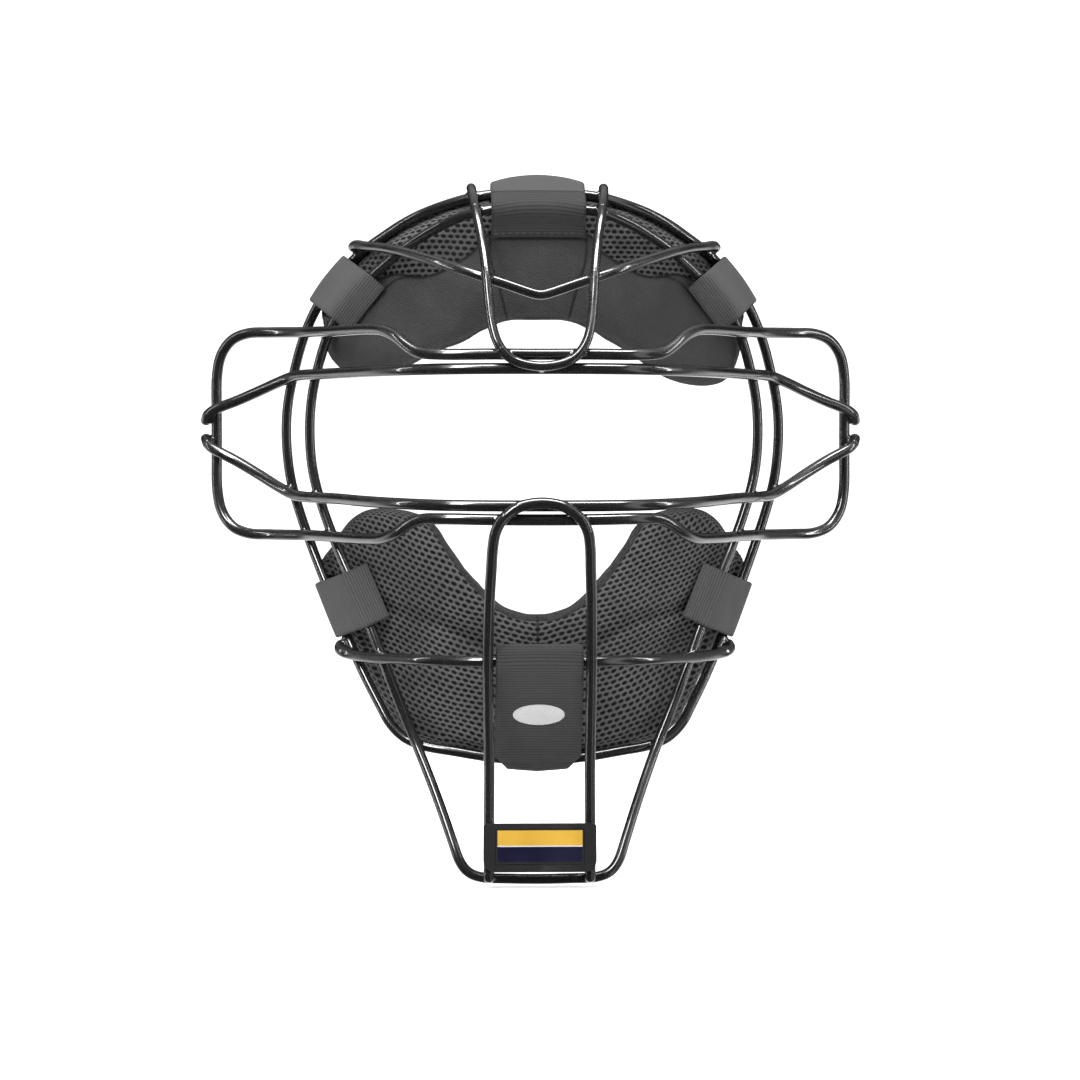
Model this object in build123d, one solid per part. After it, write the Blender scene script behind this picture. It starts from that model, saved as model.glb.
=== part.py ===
from build123d import *
import math
import os

os.makedirs("parts", exist_ok=True)

# Catcher's mask: a welded wire cage, two pads, six straps and a badge on the throat guard.
# Millimetres, +Z up, the front of the cage faces -Y, +X is the viewer's right.
# The tables are written about the middle of the face opening at the depth of the temples.
# The last section moves every piece so that the origin is the middle of the mask's underside.

# ---------------------------------------------------------------- driving sizes
RING_D = 4.4            # the two perimeter wires
BAR_D = 4.8             # eye port loop and eye bars
BROW_D = 4.0            # forehead U wire
VEE_D = 4.4             # forehead V wire
CHIN_D = 4.7            # chin crossbar
LEG_D = 4.6             # centre loop
LEG_Y = -84.3           # depth of the straight lower legs of the centre loop

LAYER_GAP = 0.25        # clear between neighbouring soft layers
PAD_T = 27.0            # pad thickness, front to back
COVER_T = 1.4           # cover fabric, front and back
FIRM_T = 12.0           # firm foam layer
BINDING_W = 1.4         # tape round the edge of a pad
BINDING_INSET = 2.0     # binding stops this far short of the pad's front and back
PANEL_CLEAR = 0.3       # round the yoke panel, in the mesh cover
PAD_CURVE = 0.0062      # the pads follow y = front + PAD_CURVE * x**2
TOP_PAD_FRONT = -69.2
CHIN_PAD_FRONT = -64.0

STRAP_T = 1.8           # webbing thickness
TAIL_T = 1.6            # webbing thickness behind the fold
STRAP_W = 28.0          # side straps
TOP_STRAP_W = 40.0
CHIN_FLAP_W = 37.0
HOOK_T = 1.0            # hook tape on the pad under a strap end
HOOK_NARROWER = 3.0     # hook tape width below the strap width
PAD_TO_HOOK = LAYER_GAP + 0.2
HOOK_TO_STRAP = 0.25

# ---------------------------------------------------------------- wire centre lines
# Half paths on the +X side, columns (x, z, y).
# Closed wires run from the top centre to the bottom centre.
REAR_RING = [
    (0, 102.9, -57.0), (15, 102.4, -56.5), (27.8, 100.9, -55.0), (44.9, 96.0, -48.5),
    (56, 91.2, -41.5), (65.3, 85.7, -33.6), (76.3, 78.2, -24.4), (86.4, 68.2, -15.6),
    (93, 59.6, -9.8), (97.6, 51.6, -6.2), (102.2, 40.2, -2.8), (105.9, 26.6, -0.8),
    (108.3, 15.0, 0.0), (109.3, 3.0, 0.2), (108.7, -10.5, 0.0), (106.9, -22.0, -1.2),
    (103.2, -34.8, -3.6), (97.8, -50.0, -7.4), (91.4, -66.0, -14.5), (84.8, -81.7, -23.0),
    (75.6, -102.0, -34.0), (67.4, -117.6, -41.5), (63.0, -125.2, -44.8),
    (56.5, -131.2, -47.5), (48.0, -134.3, -50.5), (36.0, -136.2, -53.4),
    (20.0, -138.6, -56.0), (0, -140.2, -57.0)]
FRONT_RING = [
    (0, 95.2, -73.0), (13, 94.9, -72.4), (25.5, 93.9, -70.6), (38.8, 89.4, -64.6),
    (54.6, 80.6, -54.6), (64.6, 73.0, -47.2), (76.0, 63.0, -37.4), (86.0, 51.4, -28.0),
    (90.8, 41.5, -22.9), (95.1, 27.4, -18.4), (97.5, 15.5, -17.0), (98.4, 3.0, -16.6),
    (97.8, -11.0, -17.0), (95.8, -22.0, -18.6), (91.6, -35.6, -22.0), (85.6, -50.8, -27.0),
    (78.4, -67.0, -34.0), (71.4, -83.6, -41.0), (64.9, -100.8, -46.2), (57.3, -120.0, -50.6),
    (51.6, -133.6, -54.0), (42.2, -157.0, -67.4), (36.2, -173.6, -76.0),
    (33.8, -180.2, -78.6), (30.2, -185.0, -79.9), (24.6, -187.2, -80.2), (12, -187.8, -80.2),
    (0, -188.0, -80.2)]
EYE_LOOP = [
    (0, 32.8, -108.0), (20, 32.9, -107.2), (41.0, 32.9, -103.4), (50.5, 33.8, -98.6),
    (55.4, 36.6, -94.9), (60.4, 40.8, -89.8), (65.6, 43.4, -82.6), (72.0, 44.2, -70.4),
    (80.0, 44.3, -55.0), (89.0, 44.3, -36.0), (94.5, 44.5, -23.4), (101.2, 44.7, -10.4),
    (109.0, 44.9, -1.8), (117.0, 45.0, 4.6), (126.6, 44.8, 10.5), (134.0, 41.9, 14.6),
    (139.0, 35.2, 17.8), (141.0, 25.5, 19.6), (141.2, 12.0, 20.3), (141.2, 0.0, 20.5),
    (141.2, -12.0, 20.3), (141.0, -24.5, 19.6), (139.0, -34.4, 17.8), (134.0, -41.3, 14.6),
    (126.6, -44.3, 10.3), (117.0, -44.6, 3.8), (108.0, -44.6, -4.4), (99.8, -44.5, -12.5),
    (93.6, -44.5, -23.8), (88.4, -44.5, -34.2), (80.0, -44.6, -52.4), (72.0, -44.5, -68.8),
    (65.6, -43.9, -81.4), (60.2, -41.4, -89.8), (55.2, -37.8, -94.9), (50.0, -35.6, -98.6),
    (41.0, -35.2, -103.4), (20, -35.5, -107.4), (0, -35.6, -108.0)]
# The two eye bars run from the middle out to their tips.
UPPER_BAR = [
    (0, 26.9, -108.0), (20, 26.9, -107.0), (41.0, 26.8, -102.4), (56, 26.6, -92.6),
    (67, 26.4, -80.2), (78, 26.2, -61.6), (88, 26.0, -41.8), (95.3, 25.9, -28.2),
    (101, 25.8, -16.4), (106.3, 25.2, -6.9), (112.5, 22.9, -1.4), (122, 18.8, 5.6),
    (132.0, 14.6, 11.2), (139.6, 11.8, 14.0), (144.4, 9.2, 16.8), (146.0, 6.0, 20.6)]
LOWER_BAR = [
    (0, -29.8, -108.0), (20, -29.8, -107.0), (41.0, -29.6, -102.4), (56, -29.2, -92.6),
    (67, -28.8, -80.2), (77, -28.4, -61.6), (86.5, -27.9, -42.0), (94.0, -27.7, -29.4),
    (100.2, -27.6, -16.8), (105.6, -26.8, -8.4), (112.0, -23.8, -2.2), (122, -17.8, 5.4),
    (132.0, -12.0, 11.2), (139.6, -8.1, 14.0), (144.4, -5.3, 16.8), (146.0, -2.0, 20.6)]
# The other open wires run from their ends in to the middle.
BROW_U = [
    (28.3, 105.0, -54.6), (28.2, 104.6, -59.0), (27.9, 101.8, -66.2), (27.1, 96.8, -73.2),
    (26.2, 91.4, -78.8), (24.9, 84.7, -84.0), (23.6, 75.7, -91.4), (22.6, 66.6, -97.4),
    (21.6, 54.0, -103.2), (20.2, 43.6, -108.4), (17.6, 36.2, -111.2), (12.4, 30.6, -112.2),
    (6.0, 28.4, -112.3), (0, 27.8, -112.3)]
VEE = [
    (79.2, 81.4, -23.4), (77.8, 82.1, -27.6), (73.6, 81.2, -32.8), (66.0, 79.8, -46.4),
    (57.9, 77.4, -61.6), (49.5, 74.5, -72.6), (40.5, 71.2, -82.4), (31.5, 68.0, -89.8),
    (22.6, 65.0, -93.6), (14.6, 62.4, -94.9), (6.0, 59.4, -95.8), (0, 57.8, -96.0)]
CHIN_BAR = [
    (84.8, -92.0, -26.4), (85.2, -94.0, -30.7), (79.8, -95.6, -35.6), (74.2, -96.1, -42.6),
    (68.0, -96.2, -49.8), (60.0, -96.0, -58.8), (50.0, -95.8, -69.6), (38.0, -95.8, -78.0),
    (26.0, -95.8, -82.4), (12, -95.9, -84.2), (0, -96.0, -84.6)]
CENTRE_LOOP = [
    (21.3, -187.2, LEG_Y), (21.3, -176.0, LEG_Y), (21.3, -162.0, -84.4),
    (21.2, -141.5, -84.8), (21.7, -112.0, -86.2), (21.8, -95.8, -87.6), (21.6, -82.0, -90.6),
    (21.3, -69.3, -95.6), (20.6, -55.0, -103.0), (20.2, -47.4, -107.4), (19.0, -40.2, -111.2),
    (16.2, -35.2, -112.5), (10.8, -30.8, -112.6), (5.6, -29.0, -112.6), (0, -28.4, -112.6)]

solids = {}             # file name -> piece

# ---------------------------------------------------------------- wires
WIRE_STEPS = 8          # spline samples per table span
MAX_TURN = 6.5          # degrees of bend between kept sections
MAX_REACH = 26.0        # distance between kept sections
MIN_LAST_SPAN = 0.8     # a shorter last span is merged into the one before


def blend(start, end, t_start, t_end, t):
    span = t_end - t_start
    return start * ((t_end - t) / span) + end * ((t - t_start) / span)


def catmull(points, closed, steps):
    """Centripetal Catmull-Rom samples through the points."""
    pts = [Vector(*p) for p in points]
    n = len(pts)
    samples = []
    for i in range(n if closed else n - 1):
        if closed:
            p0, p1, p2, p3 = (pts[(i + k) % n] for k in (-1, 0, 1, 2))
        else:
            p1, p2 = pts[i], pts[i + 1]
            p0 = pts[i - 1] if i > 0 else p1 * 2 - p2
            p3 = pts[i + 2] if i + 2 < n else p2 * 2 - p1
        t0 = 0.0
        t1 = t0 + max((p1 - p0).length, 1e-6) ** 0.5
        t2 = t1 + max((p2 - p1).length, 1e-6) ** 0.5
        t3 = t2 + max((p3 - p2).length, 1e-6) ** 0.5
        for k in range(steps):
            t = t1 + (t2 - t1) * k / steps
            a1 = blend(p0, p1, t0, t1, t)
            a2 = blend(p1, p2, t1, t2, t)
            a3 = blend(p2, p3, t2, t3, t)
            b1 = blend(a1, a2, t0, t2, t)
            b2 = blend(a2, a3, t1, t3, t)
            samples.append(blend(b1, b2, t1, t2, t))
    if not closed:
        samples.append(pts[-1])
    return samples


def thin_out(samples):
    """Keep only the samples needed to follow the bends."""
    keep = [0]
    turned = 0.0
    for i in range(1, len(samples) - 1):
        before = (samples[i] - samples[i - 1]).normalized()
        after = (samples[i + 1] - samples[i]).normalized()
        turned += math.degrees(math.acos(max(-1.0, min(1.0, before.dot(after)))))
        reach = (samples[i + 1] - samples[keep[-1]]).length
        if turned > MAX_TURN or reach > MAX_REACH:
            keep.append(i)
            turned = 0.0
    keep.append(len(samples) - 1)
    if len(keep) > 2 and (samples[keep[-1]] - samples[keep[-2]]).length < MIN_LAST_SPAN:
        keep.pop(-2)
    return [samples[i] for i in keep]


def tube(samples, diameter, end_tangents=None):
    """Round wire ruled between circles carried along the samples."""
    steps = [(q - p).normalized() for p, q in zip(samples, samples[1:])]
    middle = [(a + b).normalized() for a, b in zip(steps, steps[1:])]
    first, last = end_tangents or (steps[0], steps[-1])
    tangents = [first] + middle + [last]
    ref = Vector(0, 0, 1) if abs(first.Z) < 0.8 else Vector(0, 1, 0)
    x_dir = (ref - first * ref.dot(first)).normalized()
    circles = []
    for point, tangent in zip(samples, tangents):
        # the section's x direction is carried along without twisting
        x_dir = (x_dir - tangent * x_dir.dot(tangent)).normalized()
        circles.append(Plane(point, x_dir=x_dir, z_dir=tangent) * Circle(diameter / 2))
    return loft(circles, ruled=True)


def both_sides(half):
    """The half path as (x, y, z) on +X, and its reversed mirror image on -X."""
    right = [(x, y, z) for x, z, y in half]
    left = [(-x, y, z) for x, z, y in reversed(half)]
    return right, left


def closed_wire(half, diameter):
    """Closed loop made as two mirrored halves, meeting square to x = 0."""
    right, left = both_sides(half)
    samples = catmull(right + left[1:-1], True, WIRE_STEPS)
    samples = samples[: WIRE_STEPS * (len(half) - 1) + 1]
    side = tube(thin_out(samples), diameter, (Vector(1, 0, 0), Vector(-1, 0, 0)))
    return side + mirror(side, about=Plane.YZ)


def open_wire(half, diameter):
    right, left = both_sides(half)
    path = right + left[1:] if half[-1][0] == 0 else left[:-1] + right
    return tube(thin_out(catmull(path, False, WIRE_STEPS)), diameter)


for name, half, diameter in (
        ("rear_ring_wire", REAR_RING, RING_D),
        ("front_ring_throat_wire", FRONT_RING, RING_D),
        ("eye_port_loop", EYE_LOOP, BAR_D)):
    solids[name] = closed_wire(half, diameter)

for name, half, diameter in (
        ("upper_eye_bar", UPPER_BAR, BAR_D),
        ("lower_eye_bar", LOWER_BAR, BAR_D),
        ("forehead_u_wire", BROW_U, BROW_D),
        ("forehead_v_wire", VEE, VEE_D),
        ("chin_crossbar", CHIN_BAR, CHIN_D),
        ("centre_loop_wire", CENTRE_LOOP, LEG_D)):
    solids[name] = open_wire(half, diameter)

# ---------------------------------------------------------------- badge
# A plate in front of the lower legs, held by a clamp bar behind them.
PLATE_W, PLATE_H, PLATE_T = 47.5, 20.4, 2.6
PLATE_Z = -173.8
PLATE_BACK = LEG_Y - LEG_D / 2 - 0.25
PLATE_FRONT = PLATE_BACK - PLATE_T
PLATE_LOW_R, PLATE_HIGH_R = 5.0, 1.5    # corner radii

LABEL_W, LABEL_H, LABEL_T = 37.0, 14.6, 0.5
LABEL_Z = PLATE_Z + 0.6
LABEL_SUNK = 0.4                        # the rest of the label stands proud
RECESS_CLEAR = 0.4                      # recess over label, in width and height
RECESS_DEPTH = 0.45

CLAMP_W, CLAMP_H, CLAMP_T = 46.0, 8.0, 2.0
CLAMP_R = 2.0
CLAMP_Y = LEG_Y + LEG_D / 2 + 0.05 + CLAMP_T / 2

SCREW_X = 14.0                          # each side of the middle
SCREW_Z = PLATE_Z - 0.4                 # the clamp bar is at this height too
SHANK_R = 1.1
PLATE_HOLE_R = 1.15
PLATE_HOLE_L = 3.0
PLATE_HOLE_Y = PLATE_BACK - 0.2         # middle of the hole cutter
CLAMP_HOLE_R = 1.5
CLAMP_HOLE_L = 4.0
SCREW_TIP_Y = PLATE_BACK - 1.3
HEAD_Y = CLAMP_Y + CLAMP_T / 2 + 0.05   # underside of the head
HEAD_R, HEAD_T = 2.4, 1.4
SLOT_L, SLOT_W = 3.6, 0.7
SLOT_Y = HEAD_Y + 1.2                   # middle of the cross slot cutters


def screw_cylinder(side, y, radius, length):
    """Cylinder along Y on the axis of one of the two screws."""
    return Pos(side * SCREW_X, y, SCREW_Z) * Rot(90, 0, 0) * Cylinder(radius, length)


def badge_plate():
    plate = Pos(0, PLATE_BACK - PLATE_T / 2, PLATE_Z) * Box(PLATE_W, PLATE_T, PLATE_H)
    plate = fillet(plate.edges().filter_by(Axis.Y).group_by(Axis.Z)[0], PLATE_LOW_R)
    plate = fillet(plate.edges().filter_by(Axis.Y).group_by(Axis.Z)[-1], PLATE_HIGH_R)
    for side in (-1, 1):
        plate -= screw_cylinder(side, PLATE_HOLE_Y, PLATE_HOLE_R, PLATE_HOLE_L)
    # the cutter is centred on the front face, so half of it cuts
    recess = Box(LABEL_W + RECESS_CLEAR, 2 * RECESS_DEPTH, LABEL_H + RECESS_CLEAR)
    return plate - Pos(0, PLATE_FRONT, LABEL_Z) * recess


def badge_label():
    y = PLATE_FRONT + LABEL_SUNK - LABEL_T / 2
    return Pos(0, y, LABEL_Z) * Box(LABEL_W, LABEL_T, LABEL_H)


def badge_clamp_bar():
    clamp = Pos(0, CLAMP_Y, SCREW_Z) * Box(CLAMP_W, CLAMP_T, CLAMP_H)
    clamp = fillet(clamp.edges().filter_by(Axis.Y), CLAMP_R)
    for side in (-1, 1):
        clamp -= screw_cylinder(side, CLAMP_Y, CLAMP_HOLE_R, CLAMP_HOLE_L)
    return clamp


def badge_screw(side):
    """Cross-slotted screw with its head at the back."""
    shank = screw_cylinder(side, (SCREW_TIP_Y + HEAD_Y) / 2, SHANK_R, HEAD_Y - SCREW_TIP_Y)
    head = screw_cylinder(side, HEAD_Y + HEAD_T / 2, HEAD_R, HEAD_T)
    slot_place = Pos(side * SCREW_X, SLOT_Y, SCREW_Z)
    across = slot_place * Box(SLOT_L, SLOT_W, SLOT_W)
    upright = slot_place * Box(SLOT_W, SLOT_W, SLOT_L)
    return (shank + head) - across - upright


solids["badge_plate"] = badge_plate()
solids["badge_label"] = badge_label()
solids["badge_clamp_bar"] = badge_clamp_bar()
solids["badge_screws"] = Compound(children=[badge_screw(side) for side in (-1, 1)])

# ---------------------------------------------------------------- pads
# Half outlines seen from the front, +X side, columns (x, z), centre line to centre line.
# Top pad: brow edge from the middle, cheek lobe, then up the rear ring to the crown.
TOP_OUTLINE = [
    (0, 48.6), (11, 48.6), (16.5, 47.3), (22.5, 44.4), (33, 38.6), (38.5, 35.8),
    (46, 30.6), (50.5, 27.4), (56, 24.4), (64, 22.0), (72, 21.0), (80, 21.6), (86, 23.8),
    (90.2, 28.0), (93.4, 34.4), (95.0, 41), (93.2, 50.2), (88.8, 58.0), (82.0, 65.4),
    (72.6, 74.1), (62.0, 81.4), (53.8, 87.7), (43.2, 92.2), (26.8, 96.9), (14.5, 98.2),
    (0, 98.7)]
# Chin pad: centre of the chin cup, up to the cheek lobe, down the rear ring.
CHIN_OUTLINE = [
    (0, -77.3), (9, -76.2), (17, -72.2), (25.5, -63.8), (31, -57.4), (36.8, -49.4),
    (42.4, -40.8), (47.5, -36.2), (53.5, -33.8), (60, -32.8), (68, -32.3), (76, -33.3),
    (83, -37.3), (87.8, -43.8), (89.6, -52.0), (86.6, -64.4), (80.2, -79.7),
    (71.2, -99.6), (63.2, -114.8), (59.4, -121.4), (54.2, -126.3), (46.6, -129.4),
    (35.2, -131.4), (19.6, -133.7), (0, -134.9)]
# Smooth yoke panel let into the cover over the middle of the top pad.
YOKE_OUTLINE = [
    (0, 51.4), (11, 51.4), (17.6, 50.0), (24, 46.9), (34.2, 41.2), (39.8, 38.4),
    (47.6, 33.0), (56, 29.2), (64.6, 38.6), (73.5, 51.2), (70.0, 58.6), (61.5, 67.0),
    (51.5, 65.6), (40, 68.0), (30.5, 72.6), (21.5, 80.8), (12, 81.6), (0, 81.8)]

SLAB_X = [-112 + 8 * i for i in range(29)]      # spline points across a slab
SLAB_H = 320
PRISM_L = 240                                   # outline prism along Y, centred on y = 0
HOLE_L = 250


def full_outline(half):
    """Closed outline from a half outline."""
    return half + [(-x, z) for x, z in reversed(half)][1:-1]


def offset_outline(pts, distance):
    """Move a closed outline outwards (inwards when negative), with limited mitres."""
    n = len(pts)
    area = sum(pts[i][0] * pts[(i + 1) % n][1] - pts[(i + 1) % n][0] * pts[i][1]
               for i in range(n)) / 2
    sign = 1 if area > 0 else -1
    moved = []
    for i in range(n):
        x0, z0 = pts[i - 1]
        x1, z1 = pts[i]
        x2, z2 = pts[(i + 1) % n]
        len1 = math.hypot(x1 - x0, z1 - z0)
        len2 = math.hypot(x2 - x1, z2 - z1)
        normal1 = ((z1 - z0) / len1, -(x1 - x0) / len1)
        normal2 = ((z2 - z1) / len2, -(x2 - x1) / len2)
        mx, mz = normal1[0] + normal2[0], normal1[1] + normal2[1]
        length = math.hypot(mx, mz)
        mx, mz = mx / length, mz / length
        cosine = max(mx * normal1[0] + mz * normal1[1], 0.5)
        moved.append((x1 + sign * distance * mx / cosine, z1 + sign * distance * mz / cosine))
    return moved


def outline_prism(pts, length):
    face = make_face(Polyline(*[(x, 0, z) for x, z in pts], close=True))
    return Pos(0, length / 2, 0) * extrude(face, length, dir=(0, -1, 0))


def slab(front, y0, y1):
    """Curved sheet from y0 to y1 behind the pad front, following the head."""
    near, far = (Spline(*[(x, front + y + PAD_CURVE * x * x, 0) for x in SLAB_X])
                 for y in (y0, y1))
    right = Line(near @ 1, far @ 1)
    left = Line(near @ 0, far @ 0)
    face = make_face(Curve() + [near, right, far, left])
    return Pos(0, 0, -SLAB_H / 2) * extrude(face, SLAB_H, dir=(0, 0, 1))


def pad_piece(pts, front, y0, y1, hole=None):
    prism = outline_prism(pts, PRISM_L)
    if hole is not None:
        prism -= outline_prism(hole, HOLE_L)
    return prism & slab(front, y0, y1)


def build_pad(prefix, outline, front, cover_hole=None):
    """Front cover, firm foam, comfort foam, face lining and edge binding."""
    core = offset_outline(outline, -(BINDING_W + LAYER_GAP))
    firm_y = COVER_T + LAYER_GAP
    comfort_y = firm_y + FIRM_T + LAYER_GAP
    lining_y = PAD_T - COVER_T
    for layer, y0, y1, hole in (
            ("mesh_cover", 0, COVER_T, cover_hole),
            ("firm_foam", firm_y, firm_y + FIRM_T, None),
            ("comfort_foam", comfort_y, lining_y - LAYER_GAP, None),
            ("face_lining", lining_y, PAD_T, None)):
        solids[prefix + "_" + layer] = pad_piece(core, front, y0, y1, hole)
    solids[prefix + "_edge_binding"] = pad_piece(
        outline, front, BINDING_INSET, PAD_T - BINDING_INSET,
        offset_outline(outline, -BINDING_W))


yoke = full_outline(YOKE_OUTLINE)
solids["top_pad_yoke_panel"] = pad_piece(yoke, TOP_PAD_FRONT, 0, COVER_T)
build_pad("top_pad", full_outline(TOP_OUTLINE), TOP_PAD_FRONT,
          offset_outline(yoke, PANEL_CLEAR))
build_pad("chin_pad", full_outline(CHIN_OUTLINE), CHIN_PAD_FRONT)

# ---------------------------------------------------------------- strap stations
RING_STEPS = 12         # spline samples per table span
TANGENT_REACH = 10      # samples each side that set the ring direction
NEAR_WIRE = 40          # search distance for a wire crossing
REAR_SAMPLES, FRONT_SAMPLES = (
    catmull([(x, y, z) for x, z, y in ring], False, RING_STEPS)
    for ring in (REAR_RING, FRONT_RING))


class Station:
    """Frame on the rear ring. Section lines in it are (a, y): a inwards, y backwards."""

    def __init__(self, pivot, along, outward, side=1):
        """The vectors are given on the +X side; side = -1 mirrors them."""
        self.pivot = Vector(pivot.X * side, pivot.Y, pivot.Z)
        self.along = Vector(along.X * side, along.Y, along.Z)
        self.outward = Vector(outward.X * side, outward.Y, outward.Z)
        self.rear, self.front = ([Vector(q.X * side, q.Y, q.Z) for q in ring]
                                 for ring in (REAR_SAMPLES, FRONT_SAMPLES))

    def at(self, a, y, s=0.0):
        """World point, s along the ring."""
        o = self.pivot + self.along * s
        return Vector(o.X - a * self.outward.X, o.Y + y, o.Z - a * self.outward.Z)

    def wire_at(self, ring, s):
        """Where a perimeter wire crosses the section at s, as (a, y)."""
        o = self.pivot + self.along * s
        flat = Vector(self.along.X, 0, self.along.Z).normalized()
        near = (q for q in ring if (q - o).length < NEAR_WIRE)
        q = min(near, key=lambda q: abs((q - o).dot(flat)))
        return (o - q).dot(self.outward), q.Y - o.Y

    def pad_y(self, a, front, s=0.0):
        """Section y of the pad front."""
        o = self.pivot + self.along * s
        x = o.X - a * self.outward.X
        return front + PAD_CURVE * x * x - o.Y

    def strip(self, lines, thick, width):
        """Thin solid ruled between section lines spread evenly across the width."""
        if len(lines) == 1:
            lines = lines * 2
        faces = []
        for k, line in enumerate(lines):
            s = -width / 2 + width * k / (len(lines) - 1)
            upper, lower = [], []
            for i, (a, y) in enumerate(line):
                a0, y0 = line[max(i - 1, 0)]
                a1, y1 = line[min(i + 1, len(line) - 1)]
                length = math.hypot(a1 - a0, y1 - y0)
                na, ny = -(y1 - y0) / length, (a1 - a0) / length
                upper.append((a + na * thick / 2, y + ny * thick / 2))
                lower.append((a - na * thick / 2, y - ny * thick / 2))
            pts = [self.at(a, y, s) for a, y in upper + lower[::-1]]
            faces.append(make_face(Polyline(*pts, close=True)))
        return loft(faces, ruled=True)


def side_station(side, height):
    rear = REAR_SAMPLES
    i = min(range(2, len(rear) - 2), key=lambda k: abs(rear[k].Z - height))
    along = (rear[i + TANGENT_REACH] - rear[i - TANGENT_REACH]).normalized()
    outward = Vector(-along.Z, 0, along.X).normalized()
    if outward.X < 0:
        outward = outward * -1
    return Station(rear[i], along, outward, side)


# ---------------------------------------------------------------- straps
FOLD_A = -3.9           # the fold sits this far outside the rear wire
FOLD_Y = 2.0
LEAF_START_Y = FOLD_Y - 0.5
TAIL_END_Y = FOLD_Y + 1.2
TAIL = [(3.2, 8.4), (1.4, 7.4), (-1.2, 6.2), (-3.0, 4.8)]   # (a, y) up to the fold
WRAP_R = RING_D / 2 + 0.8 + STRAP_T / 2                     # webbing middle about a wire


def between(start, end, t):
    return start + (end - start) * t


def leaf_line(station, a_end, front, lift=0.0, s=0.0):
    """Webbing from the fold, over both perimeter wires, down to the pad."""
    line = [(FOLD_A - lift, LEAF_START_Y), (FOLD_A - lift, 0.2)]
    rear_a, rear_y = station.wire_at(station.rear, s) if s else (0.0, 0.0)
    front_a, front_y = station.wire_at(station.front, s)
    length = math.hypot(front_a - rear_a, front_y - rear_y)
    # normal to the run between the wires, on its front side
    ma, my = (front_y - rear_y) / length, -(front_a - rear_a) / length
    if my > 0:
        ma, my = -ma, -my
    for k in (0.45, 1.0):
        va, vy = between(-1.0, ma, k), between(0.0, my, k)
        scale = math.hypot(va, vy)
        line.append((rear_a + (WRAP_R + lift) * va / scale,
                     rear_y + (WRAP_R + lift) * vy / scale))
    for k in (0.0, 0.5, 1.0):
        va, vy = between(ma, 0.15, k), between(my, -1.0, k)
        scale = math.hypot(va, vy)
        line.append((front_a + WRAP_R * va / scale, front_y + WRAP_R * vy / scale))
    drop = PAD_TO_HOOK + HOOK_T + HOOK_TO_STRAP + STRAP_T / 2
    if lift:
        # the lifted strap bends round the front wire before it meets the pad
        line.append((front_a + WRAP_R * 0.8, front_y - WRAP_R * 0.62))
        a_mid = front_a + 6.2
        line.append((a_mid, min(station.pad_y(a_mid, front, s) - drop, front_y + 1.2)))
    line.append((a_end, station.pad_y(a_end, front, s) - drop))
    return line


def hook_line(station, a0, a1, front, s=0.0):
    drop = PAD_TO_HOOK + HOOK_T / 2
    return [(a, station.pad_y(a, front, s) - drop) for a in (a0, a1)]


def build_strap(name, station, leaf, hook, width, tail_narrower, lift=0.0):
    """Tail behind the fold, leaf in front of it, and hook tape on the pad."""
    tail = TAIL + [(FOLD_A - lift, TAIL_END_Y)]
    solids[name + "_tail"] = station.strip([tail], TAIL_T, width - tail_narrower)
    solids[name + "_leaf"] = station.strip(leaf, STRAP_T, width)
    solids[name + "_hook_tape"] = station.strip(hook, HOOK_T, width - HOOK_NARROWER)


HOOK_SETBACK = 0.4      # hook tape ends this far before the strap end

# top strap at the crown
TOP_END_A = 19.8
TOP_HOOK_START = 8.0    # before the strap end
TOP_LIFT = 0.9          # extra room round the rear wire
crown = Station(REAR_SAMPLES[0], Vector(1, 0, 0), Vector(0, 0, 1))
build_strap(
    "top_strap", crown,
    [leaf_line(crown, TOP_END_A, TOP_PAD_FRONT, TOP_LIFT)],
    [hook_line(crown, TOP_END_A - TOP_HOOK_START, TOP_END_A - HOOK_SETBACK, TOP_PAD_FRONT)],
    TOP_STRAP_W, tail_narrower=6.0, lift=TOP_LIFT)

# side straps: level, height, pad front, strap end past the front wire,
# hook tape start before the strap end
SIDE_STRAPS = [
    ("upper", 66.0, TOP_PAD_FRONT, 8.2, 4.4),
    ("lower", -75.6, CHIN_PAD_FRONT, 9.3, 5.2)]
for level, height, front, past_wire, hook_start in SIDE_STRAPS:
    for hand, side in (("right", 1), ("left", -1)):
        station = side_station(side, height)
        a_end = station.wire_at(station.front, 0.0)[0] + past_wire
        hook_w = STRAP_W - HOOK_NARROWER
        leaf = [leaf_line(station, a_end, front, s=s)
                for s in (-STRAP_W / 2, 0.0, STRAP_W / 2)]
        hook = [hook_line(station, a_end - hook_start, a_end - HOOK_SETBACK, front, s)
                for s in (-hook_w / 2, 0.0, hook_w / 2)]
        build_strap("%s_%s_strap" % (level, hand), station, leaf, hook,
                    STRAP_W, tail_narrower=1.0)

# ---------------------------------------------------------------- chin flap
# The flap leans out over the front of the chin crossbar. Its lip turns back over the bar
# on an arc about the fold, so it can swing out past the bar.
BAR_A = CHIN_BAR[-1][1] - REAR_RING[-1][1]      # middle of the crossbar in the section
BAR_Y = CHIN_BAR[-1][2] - REAR_RING[-1][2]
BAR_WRAP_R = CHIN_D / 2 + 0.55 + STRAP_T / 2
BAR_WRAP = [(-0.515, -0.857), (-0.2, -0.98), (0.2, -0.98), (0.55, -0.835)]  # directions (a, y)
FLAP_FOOT = (3.0, -7.2)                         # where the flap leaves the rear wire
LIP_R = 60.4                                    # lip arc about the fold
LIP_ANGLES = (30.6, 28.6, 26.4, 24.4)           # degrees
FLAP_HOOK_A = (39.0, 49.0)

EMBLEM_RX, EMBLEM_RZ, EMBLEM_T = 11.0, 5.2, 0.6
EMBLEM_A = 21.9
EMBLEM_GAP = 0.06

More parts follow.
